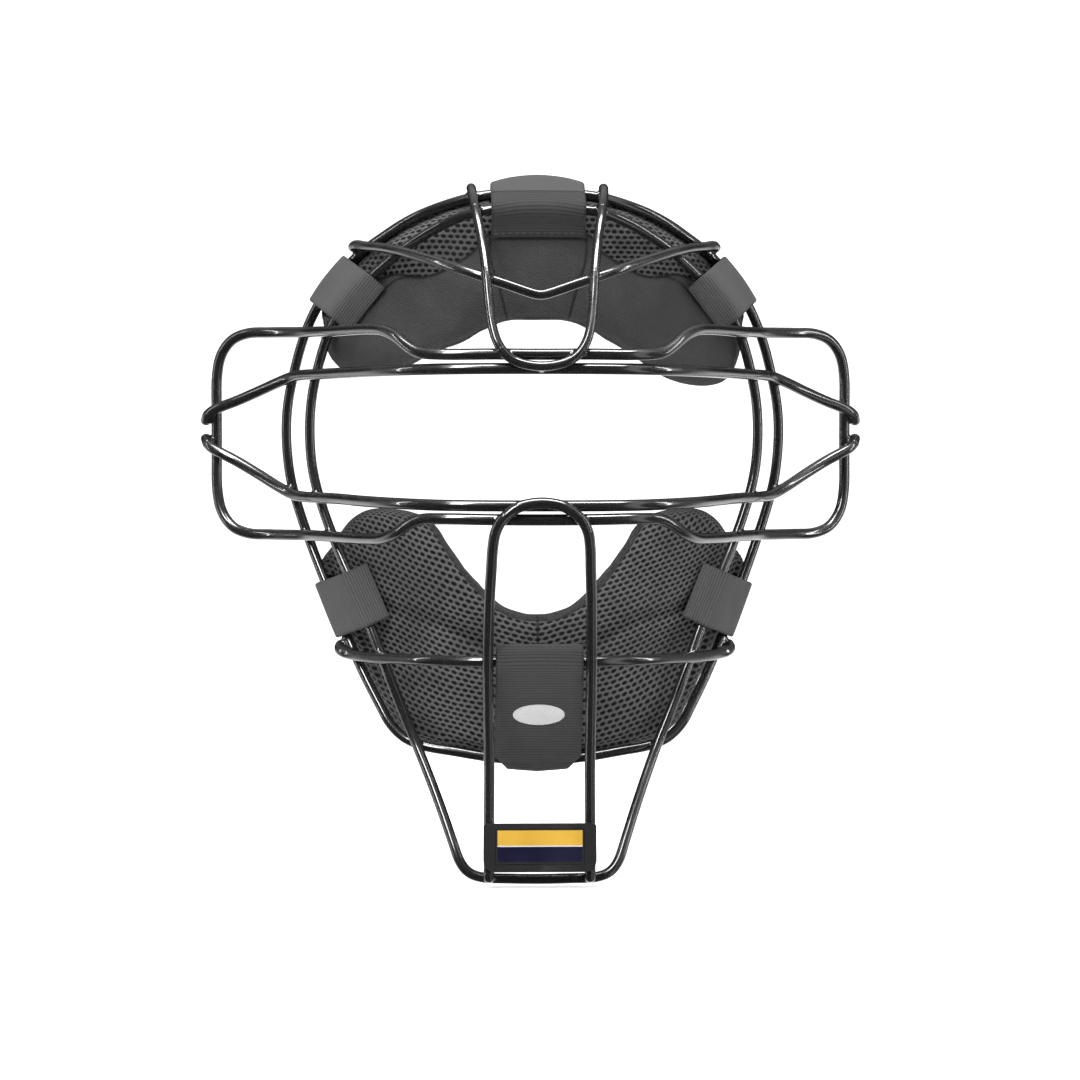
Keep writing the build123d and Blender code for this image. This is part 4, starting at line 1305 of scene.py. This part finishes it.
def flap_section(s):
    """Tail, over the rear wire, up to the chin crossbar, over it and a little beyond."""
    station = STATIONS["chin_flap"]
    a_rear, y_rear = cross_at(station.rear, station, s)
    line = tail_section(a_rear, y_rear)
    r = CHIN_R + CHIN_BAR_GAP + STRAP_T / 2
    bar_a = CHIN_BAR[-1][1] - RING_LOW_Z
    bar_y = CHIN_BAR[-1][2] - RING_FRONT_Y + 0.0030 * s * s
    start_a, start_y = 3.0, -7.0
    touch = (-0.515, -0.857)         # direction from the bar to where the flap meets it
    line += [(-2.9 + a_rear, -2.7 + y_rear), (-0.6 + a_rear, -4.2 + y_rear),
             (start_a, start_y)]
    touch_a, touch_y = bar_a + touch[0] * r, bar_y + touch[1] * r
    for k, sag in ((0.18, 0.25), (0.40, 0.65), (0.62, 0.7), (0.82, 0.35)):
        line.append((start_a + (touch_a - start_a) * k + 0.5 * sag,
                     start_y + (touch_y - start_y) * k + 0.857 * sag))
    for da, dy in (touch, (-0.15, -0.99), (0.25, -0.968), (0.60, -0.80)):
        line.append((bar_a + r * da, bar_y + r * dy))
    for angle in map(math.radians, (30.2, 28.2, 26.2, 24.4)):
        line.append((FOLD_A + FLAP_R * math.cos(angle), FOLD_Y - FLAP_R * math.sin(angle)))
    return line


def strap_middle(key, size):
    """Middle sheet (across, along, xyz) and the positions s and u of its points."""
    station = STATIONS[key]
    across = np.linspace(-size.width / 2, size.width / 2, size.columns + 1)

    def section(s):
        line = flap_section(s) if key == "chin_flap" else rim_section(key, s, size.end)
        return catmull(line, False, per=14)

    count = max(int(round(arc_lengths(section(0.0))[-1] / STRAP_STEP)), 8) + 1
    curves = [section(s) for s in across]
    sections = np.array([spread(curve, count) for curve in curves])
    length = np.mean([arc_lengths(curve)[-1] for curve in curves])
    middle = np.zeros((len(across), count, 3))
    for i, s in enumerate(across):
        origin = station.place + station.along * s
        middle[i] = origin - sections[i, :, :1] * station.outward
        middle[i, :, 1] += sections[i, :, 1]
    if key == "chin_flap":           # it is narrower where it goes round the rear wire
        for j in range(count):
            k = min(max((sections[:, j, 0].mean() + 4.4) / 9.5, 0.0), 1.0)
            centre = middle[:, j].mean(0)
            share = 0.64 + 0.36 * math.sin(math.pi / 2 * k)
            middle[:, j] = centre + (middle[:, j] - centre) * share
    return middle, across, np.linspace(0, length, count)


def strap(key, size):
    """Webbing object and the sheet it was made from."""
    middle, across, along = strap_middle(key, size)
    count = len(along)
    normal = np.cross(np.gradient(middle, axis=0), np.gradient(middle, axis=1))
    normal /= np.maximum(np.linalg.norm(normal, axis=2, keepdims=True), 1e-9)
    # the normals point away from the rear wire
    i, j = size.columns // 2, int(count * 0.45)
    if normal[i, j] @ (middle[i, j] - (STATIONS[key].place + np.array([0, 2.0, 0]))) < 0:
        normal = -normal
    # thinner at the side edges and at the landing end
    edge = np.minimum(across - across[0], across[-1] - across)
    to_end = along[-1] - along
    side_share = np.sqrt(1 - (1 - np.clip(edge / 0.9, 0, 1)) ** 2 * 0.85)
    end_share = np.sqrt(1 - (1 - np.clip(to_end / 0.9, 0, 1)) ** 2 * 0.8)
    half = (STRAP_T / 2 * side_share)[:, None] * end_share[None, :]
    points = np.concatenate([(middle + normal * half[..., None] * side).reshape(-1, 3)
                             for side in (1, -1)])
    o = new_object(key + "_webbing", to_row(points), sheet_faces(len(across), count))
    face_outward(o)
    grid = np.broadcast_arrays(along[None, :], across[:, None])
    uv = np.tile(np.stack(grid, axis=-1).reshape(-1, 2), (2, 1))
    add_weave_map(o, uv)
    add_attribute(o, "edge", np.tile(np.minimum(edge[:, None], to_end[None, :]).ravel(), 2))
    if key == "top_strap":           # smooth cap over the rear wire, straight crease below it; the same mask places the painted highlight on the cap and the painted shade below it
        z = points[:, 2]
        ribbed = np.clip((z.max() - 7.6 - z) / 2.4 + 0.5, 0, 1)
    elif key == "chin_flap":
        ribbed = np.zeros(len(points))
    else:
        ribbed = np.clip((uv[:, 0] - along[-1] * RIBBED_FROM) / 2.0 + 0.5, 0, 1)
    add_attribute(o, "ribbed", ribbed)
    smooth(o)
    set_material(o, size.material)
    return o, Sheet(middle, normal, half, across, along)


# Outline of one stitch; columns share of its length, share of its radius
STITCH_PROFILE = [(-0.02, 0.0), (0.04, 0.55), (0.14, 0.9), (0.35, 1.0), (0.65, 1.0),
                  (0.86, 0.9), (0.96, 0.55), (1.02, 0.0)]
STITCH_SIDES = 8


def stitches(key, size, sheet):
    """A row of thread stitches across the strap, near its landing end."""
    u = sheet.along[-1] - size.sew_inset
    j = np.interp(u, sheet.along, np.arange(len(sheet.along)))
    j0 = int(min(j, len(sheet.along) - 2))
    fj = j - j0
    verts, faces = [], []

    def on_sheet(s):
        """Point on the strap's outer face, and the normal there."""
        i = np.interp(s, sheet.across, np.arange(len(sheet.across)))
        i0 = int(min(i, len(sheet.across) - 2))
        fi = i - i0

        def value(grid):
            return (grid[i0, j0] * (1 - fi) * (1 - fj) + grid[i0 + 1, j0] * fi * (1 - fj)
                    + grid[i0, j0 + 1] * (1 - fi) * fj + grid[i0 + 1, j0 + 1] * fi * fj)
        normal = value(sheet.normal)
        return value(sheet.middle) + normal * (value(sheet.half) + 0.02), normal

    s = -size.sew_half
    while s + size.stitch <= size.sew_half + 1e-6:
        start, normal = on_sheet(s)
        end, end_normal = on_sheet(s + size.stitch)
        run = end - start
        side = np.cross(run / np.linalg.norm(run), normal)
        side /= np.linalg.norm(side)
        faces += tube_faces(len(STITCH_PROFILE), STITCH_SIDES, base=len(verts))
        for f, r in STITCH_PROFILE:
            sink = 0.12 * (abs(f - 0.5) * 2) ** 2
            centre = start + run * f - (normal + (end_normal - normal) * f) * sink
            for q in range(STITCH_SIDES):
                angle = 2 * math.pi * q / STITCH_SIDES
                spoke = side * math.cos(angle) + normal * math.sin(angle) * 0.8
                verts.append(centre + spoke * size.thread * max(r, 0.05))
        s += size.stitch + size.gap
    o = new_object(key + "_stitching", to_row(verts), faces)
    smooth(o)
    set_material(o, MAT_THREAD)
    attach(o, key)


def hook_tape(key, size, rows=27, columns=9):
    """Strip of hook tape under the landing end of a strap, following the cushion."""
    station = STATIONS[key]
    verts = []
    for thick in (HOOK_T, 0.0):
        for i in range(rows):
            s = -size.hook_width / 2 + size.hook_width * i / (rows - 1)
            origin = station.place + station.along * s
            for j in range(columns):
                a = size.hook_start + (size.hook_end - size.hook_start) * j / (columns - 1)
                y = pad_y(key, a, s) - HOOK_GAP - thick
                verts.append(origin - a * station.outward + [0, y, 0])
    o = new_object(key + "_hooks", to_row(verts), sheet_faces(rows, columns))
    face_outward(o)
    set_material(o, MAT_HOOK)
    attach(o, "cage")
    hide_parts(key + "_hook_tape")
    return o


def emblem(sheet):
    """Embroidered oval on the chin flap."""
    height, half_width, half_height, thick = -118.3, 11.0, 5.2, 0.7
    lay_height, lay_pitch, lean = 0.10, 0.62, 0.35
    rings, sides = 10, 72
    mid = len(sheet.across) // 2
    line = sheet.middle[mid]
    off = np.abs(line[:, 2] - height) + np.where(line[:, 1] > -60, 1e3, 0)
    j = int(np.argmin(off))          # the flap's front run, not its tail
    normal = sheet.normal[mid, j]
    centre = line[j] + normal * sheet.half[mid, j]
    along = line[j + 4] - line[j - 4]
    along /= np.linalg.norm(along)
    out = normal if normal[1] < 0 else -normal

    def on_flap(share, angle, raised):
        """Point of the oval; the flap is bent a little across."""
        x, v = half_width * share * math.cos(angle), half_height * share * math.sin(angle)
        h = raised(x, v)
        dy = np.interp(x, sheet.across, sheet.middle[:, j, 1]) - line[j, 1]
        return centre + along * v + out * h + [x, dy, 0]

    verts = []
    angles = [2 * math.pi * q / sides for q in range(sides)]
    for r in range(rings + 1):
        share = math.sin(math.pi / 2 * r / rings)
        dome = thick * math.sqrt(max(1 - share ** 2 * 0.9, 0.0))

        def raised(x, v):
            lay = lay_height * math.sin(2 * math.pi * (x + lean * v) / lay_pitch)
            return max(dome + (lay if r < rings else 0), -0.1) - 0.1
        verts += [on_flap(share, angle, raised) for angle in angles]
    verts += [on_flap(1.0, angle, lambda x, v: -0.25) for angle in angles]
    faces = []
    for r in range(rings + 1):
        for q in range(sides):
            q2 = (q + 1) % sides
            a, b = r * sides, (r + 1) * sides
            faces.append([a + q, b + q, b + q2, a + q2])
    faces.append([(rings + 1) * sides + q for q in range(sides)])
    o = new_object("chin_flap_oval", to_row(verts), faces)
    face_outward(o, merge=True)
    smooth(o)
    set_material(o, emblem_material())
    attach(o, "chin_flap")
    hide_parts("chin_flap_emblem")


MAT_WEB = webbing_material()
MAT_TAB = twill_material("crown_strap_twill", cap=True)
MAT_FLAP = twill_material("chin_flap_twill")
MAT_THREAD = stitch_material()
MAT_HOOK = hook_material()


def side_strap(key, past_wire, hook_inset):
    """Side strap ending `past_wire` inward of the front wire."""
    end = cross_at(STATIONS[key].front, STATIONS[key])[0] + past_wire
    return Strap(MAT_WEB, width=28.0, columns=40, end=end, hook_start=end - hook_inset,
                 hook_end=end - 0.6, hook_width=25.0, sew_inset=1.6, sew_half=12.9,
                 stitch=1.6, gap=0.9, thread=0.24)


# The chin flap's own section sets where it ends
STRAPS = {
    "upper_right_strap": side_strap("upper_right_strap", past_wire=9.0, hook_inset=5.2),
    "upper_left_strap": side_strap("upper_left_strap", past_wire=9.0, hook_inset=5.2),
    "lower_right_strap": side_strap("lower_right_strap", past_wire=9.1, hook_inset=5.0),
    "lower_left_strap": side_strap("lower_left_strap", past_wire=9.1, hook_inset=5.0),
    "top_strap": Strap(MAT_TAB, width=TOP_WIDTH, columns=48, end=19.8, hook_start=11.6,
                       hook_end=19.4, hook_width=37.0, sew_inset=1.5, sew_half=18.6,
                       stitch=1.9, gap=1.0, thread=0.30),
    "chin_flap": Strap(MAT_FLAP, width=37.0, columns=44, end=None, hook_start=39.2,
                       hook_end=48.8, hook_width=34.0, sew_inset=2.2, sew_half=17.0,
                       stitch=1.7, gap=0.9, thread=0.26)}
BLEND_START, BLEND_END = 4.4, -0.6   # y offsets from the station, taken at the fold behind the rear wire

webbings, hooks, sheets = [], [], {}
for key, size in STRAPS.items():
    webbing, sheets[key] = strap(key, size)
    stitches(key, size, sheets[key])
    hooks.append(hook_tape(key, size))
    place, outward = STATIONS[key].place, STATIONS[key].outward
    fold = place - outward * FOLD_A
    Vector(to_row((fold[0], place[1] + BLEND_START, fold[2])))
    Vector(to_row((fold[0], place[1] + BLEND_END, fold[2])))
    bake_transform(webbing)
    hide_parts(key + "_leaf", key + "_tail")
    "twill" if key in ("top_strap", "chin_flap") else "webbing"
    webbings.append(webbing)
emblem(sheets["chin_flap"])


# ------------------------------------------------------------------ the two cushions
def top_inner(u, v):
    """1 on the lower edge of the brow cushion's middle, fading out at the sides."""
    x = np.abs(u_to_x(u))
    return ((v < 50.0) & (x < 60)).astype(float) * np.clip((60 - x) / 6, 0, 1)


def chin_inner(u, v):
    """1 on the upper edge of the chin cushion's middle, fading out at the sides."""
    x = np.abs(u_to_x(u))
    return (v > -79).astype(float) * np.clip((47 - x) / 6, 0, 1)


def lobe_lift(outline):
    """The brow cushion's lobe on the -x side, the wearer's right, sits a little higher."""
    lifted = outline.copy()
    low = smoothstep((45.0 - outline[:, 1]) / 22.0)
    lifted[:, 1] += 4.6 * low * smoothstep((-outline[:, 0] - 28.0) / 18.0)
    return lifted


def pad_nodes(pad, *covers):
    parts = (*covers, "firm_foam", "comfort_foam", "face_lining", "edge_binding")
    return [f"{pad}_{part}" for part in parts]


pressing = press_tree(webbings + hooks)

brow = Cushion("brow_cushion", lobe_lift(loop_line(TOP_OUT)), TOP_FRONT + CUSHION_INSET,
               top_inner, yoke=lobe_lift(loop_line(YOKE_OUT)), tape_width=0.8,
               seams=TOP_SEAMS, channels=(22.0, 50.0))
brow.build()
brow.press(pressing)
brow.finish(cushion_material("brow_cushion_fabric", has_yoke=True),
            pad_nodes("top_pad", "yoke_panel", "mesh_cover"))

chin = Cushion("chin_cushion", loop_line(CHIN_OUT), CHIN_FRONT + CUSHION_INSET, chin_inner,
               tilt=0.30, seams=CHIN_SEAMS, channels=(0.0, 36.0),
               grooves=[(CHIN_CREASE * [sign, 1], 2.6, 2.6) for sign in (1, -1)])
chin.build()
chin.press(pressing)
chin.finish(cushion_material("chin_cushion_fabric", has_yoke=False),
            pad_nodes("chin_pad", "mesh_cover"))

# ------------------------------------------------------------------ welds where wires cross
WELD_TOUCH = 0.35                    # largest gap between wires that are welded
WELD_REACH = 2.9                     # length of each wire taken into a weld, each way
WELD_SKIN = 0.07                     # weld surface off the wire
WELD_BALL_R = 2.15
WELD_VOXEL = 0.42


def crossings():
    """(wire, index, wire, index, place) of every crossing."""
    wires = list(WIRES.values())
    found = []
    for i, a in enumerate(wires):
        for b in wires[i + 1:]:
            apart = np.linalg.norm(a.curve[:, None, :] - b.curve[None, :, :], axis=2)
            gap, nearest_b = apart.min(1), apart.argmin(1)
            last = None
            for k in range(len(gap)):
                least = gap[k] <= gap[k - 1] and gap[k] < gap[(k + 1) % len(gap)]
                if not least or gap[k] >= a.radius + b.radius + WELD_TOUCH:
                    continue
                j = nearest_b[k]
                place = ((a.curve[k] * b.radius + b.curve[j] * a.radius)
                         / (a.radius + b.radius))
                if last is None or np.linalg.norm(place - last) > 4:
                    found.append((a, k, b, j, place))
                    last = place
    return found


def stretch(wire_, k):
    """Points of a wire up to WELD_REACH either side of point k."""
    line = wire_.curve
    runs = []
    for direction in (-1, 1):
        run, q, points = 0.0, k, []
        while run < WELD_REACH:
            following = q + direction
            if wire_.closed:
                following %= len(line)
            if not 0 <= following < len(line):
                break
            run += np.linalg.norm(line[following] - line[q])
            q = following
            points.append(line[q])
        runs.append(points)
    return runs[0][::-1] + [line[k]] + runs[1]


def weld_mesh(a, k, b, j, place):
    """Short cylinders along both wires and a ball between them."""
    bm = bmesh.new()
    for wire_, index in ((a, k), (b, j)):
        radius = wire_.radius + WELD_SKIN
        points = stretch(wire_, index)
        for start, end in zip(points[:-1], points[1:]):
            run = Vector(end - start)
            if run.length < 1e-4:
                continue
            turn = run.to_track_quat("Z", "Y").to_matrix().to_4x4()
            bmesh.ops.create_cone(bm, cap_ends=True, segments=20, radius1=radius,
                                  radius2=radius, depth=run.length + 0.1,
                                  matrix=Matrix.Translation(Vector((start + end) / 2)) @ turn)
    bmesh.ops.create_icosphere(bm, subdivisions=2, radius=WELD_BALL_R,
                               matrix=Matrix.Translation(Vector(place)))
    mesh = bpy.data.meshes.new("w")
    bm.to_mesh(mesh)
    bm.free()
    return mesh


def weld_fillets():
    verts, faces = [], []
    for crossing in crossings():
        o = link_mesh("w", weld_mesh(*crossing))
        remesh = o.modifiers.new("r", "REMESH")
        remesh.mode = "VOXEL"
        remesh.voxel_size = WELD_VOXEL
        soften = o.modifiers.new("s", "SMOOTH")
        soften.factor = 0.6
        soften.iterations = 7
        bake(o)
        base = len(verts)
        verts += [tuple(v.co) for v in o.data.vertices]
        faces += [[base + i for i in p.vertices] for p in o.data.polygons]
        mesh = o.data
        bpy.data.objects.remove(o)
        bpy.data.meshes.remove(mesh)
    o = new_object("weld_fillets", to_row(verts), faces)
    smooth(o)
    set_material(o, MAT_WIRE)
    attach(o, "cage")


weld_fillets()


# ------------------------------------------------------------------ stage, in metres
def make_stage():
    """Floor that curves up into a back wall."""
    front, bend_start, bend_r, top = -6.0, 1.6, 1.2, 8.0
    half_width, drop = 9.0, 0.0012
    profile = [(front, 0.0)]
    profile += [(bend_start + bend_r * math.sin(a), bend_r - bend_r * math.cos(a))
                for a in np.linspace(0, math.pi / 2, 24)]
    profile += [(bend_start + bend_r, top)]
    verts = [(x, y, z - drop) for x in (-half_width, half_width) for y, z in profile]
    n = len(profile)
    o = new_object("floor", verts, [[i, i + 1, n + i + 1, n + i] for i in range(n - 1)])
    smooth(o)
    set_material(o, floor_material())
    o.visible_glossy = False


def area(name, place, width, height, power):
    """Rectangular light aimed at the middle of the mask."""
    light = bpy.data.lights.new(name, "AREA")
    light.shape = "RECTANGLE"
    light.size = width
    light.size_y = height
    light.energy = power
    o = bpy.data.objects.new(name, light)
    bpy.context.scene.collection.objects.link(o)
    o.location = place
    aim = Vector((0, 0, 0.15)) - Vector(place)
    o.rotation_euler = aim.to_track_quat("-Z", "Y").to_euler()
    return o


make_stage()
area("key_softbox", (-0.75, -1.3, 1.35), width=0.36, height=0.9, power=31)
area("right_strip", (1.1, -0.25, 0.45), width=0.07, height=1.1, power=5)
area("left_strip", (-1.15, -0.1, 0.4), width=0.05, height=1.1, power=3)
area("top_softbox", (0.0, -0.35, 1.35), width=1.0, height=0.35, power=34)
fill = area("front_fill", (0.55, -1.7, 0.35), width=0.5, height=0.5, power=5)
fill.visible_glossy = False


def glossy_room(n):
    """What gloss sees: a dark room, a soft top light, a light table behind and below, and
    side cards."""
    x, y, z = n.split(n.out("ShaderNodeTexCoord", output="Generated"))
    behind = y.ramp(lo=0.15, hi=0.55)
    low_back = behind * z.ramp(lo=0.12, hi=-0.22, last=1.25)
    high_back = behind * z.ramp(lo=0.25, hi=0.75, last=0.32)
    right_line = (x.ramp(lo=0.48, hi=0.56, last=1.25) * x.ramp(lo=0.76, hi=0.68)
                  * y.ramp(lo=0.0, hi=-0.3))
    right_card = right_line + x.ramp(lo=0.70, hi=0.95, last=0.30) * y.ramp(lo=-0.45, hi=0.05)
    left_card = x.ramp(lo=-0.80, hi=-0.93, last=0.34) * y.ramp(lo=-0.3, hi=0.2)
    top = z.ramp(lo=0.60, hi=0.92, last=0.34)
    ambient = 0.012
    return (low_back + high_back) + (right_card + left_card) + top + ambient


def make_world():
    """White for the camera, the room for gloss, an even glow for everything else."""
    world = bpy.data.worlds.new("studio")
    bpy.context.scene.world = world
    world.use_nodes = True
    n = Nodes(world.node_tree)

    def white(strength):
        return n.out("ShaderNodeBackground", {0: (1, 1, 1, 1), 1: strength})

    rays = n.add("ShaderNodeLightPath").outputs
    lit = n.out("ShaderNodeMixShader", {
        0: rays["Is Glossy Ray"], 1: white(strength=0.55), 2: white(strength=glossy_room(n))})
    seen = n.out("ShaderNodeMixShader", {
        0: rays["Is Camera Ray"], 1: lit, 2: white(strength=1.0)})
    n.put(n.add("ShaderNodeOutputWorld").inputs[0], seen)


def make_camera():
    azimuth, elevation = math.radians(-2.0), math.radians(1.7)
    distance, view_width, sensor = 1.5, 0.4644, 36.0     # metres, metres at the target, mm
    data = bpy.data.cameras.new("camera")
    camera = bpy.data.objects.new("camera", data)
    bpy.context.scene.collection.objects.link(camera)
    bpy.context.scene.camera = camera
    back = Vector((math.sin(azimuth) * math.cos(elevation),
                   -math.cos(azimuth) * math.cos(elevation), math.sin(elevation)))
    camera.location = Vector(to_row((1.363, -50.0, -45.594))) + back * distance
    camera.rotation_mode = "QUATERNION"
    camera.rotation_quaternion = (-back).to_track_quat("-Z", "Y")
    data.sensor_width = sensor
    data.lens = sensor * distance / view_width
    data.clip_start, data.clip_end = 0.05, 50


make_world()
make_camera()

view = bpy.context.scene.view_settings
view.view_transform = "Standard"
view.look = "None"
view.exposure = 0.0
view.gamma = 1.0
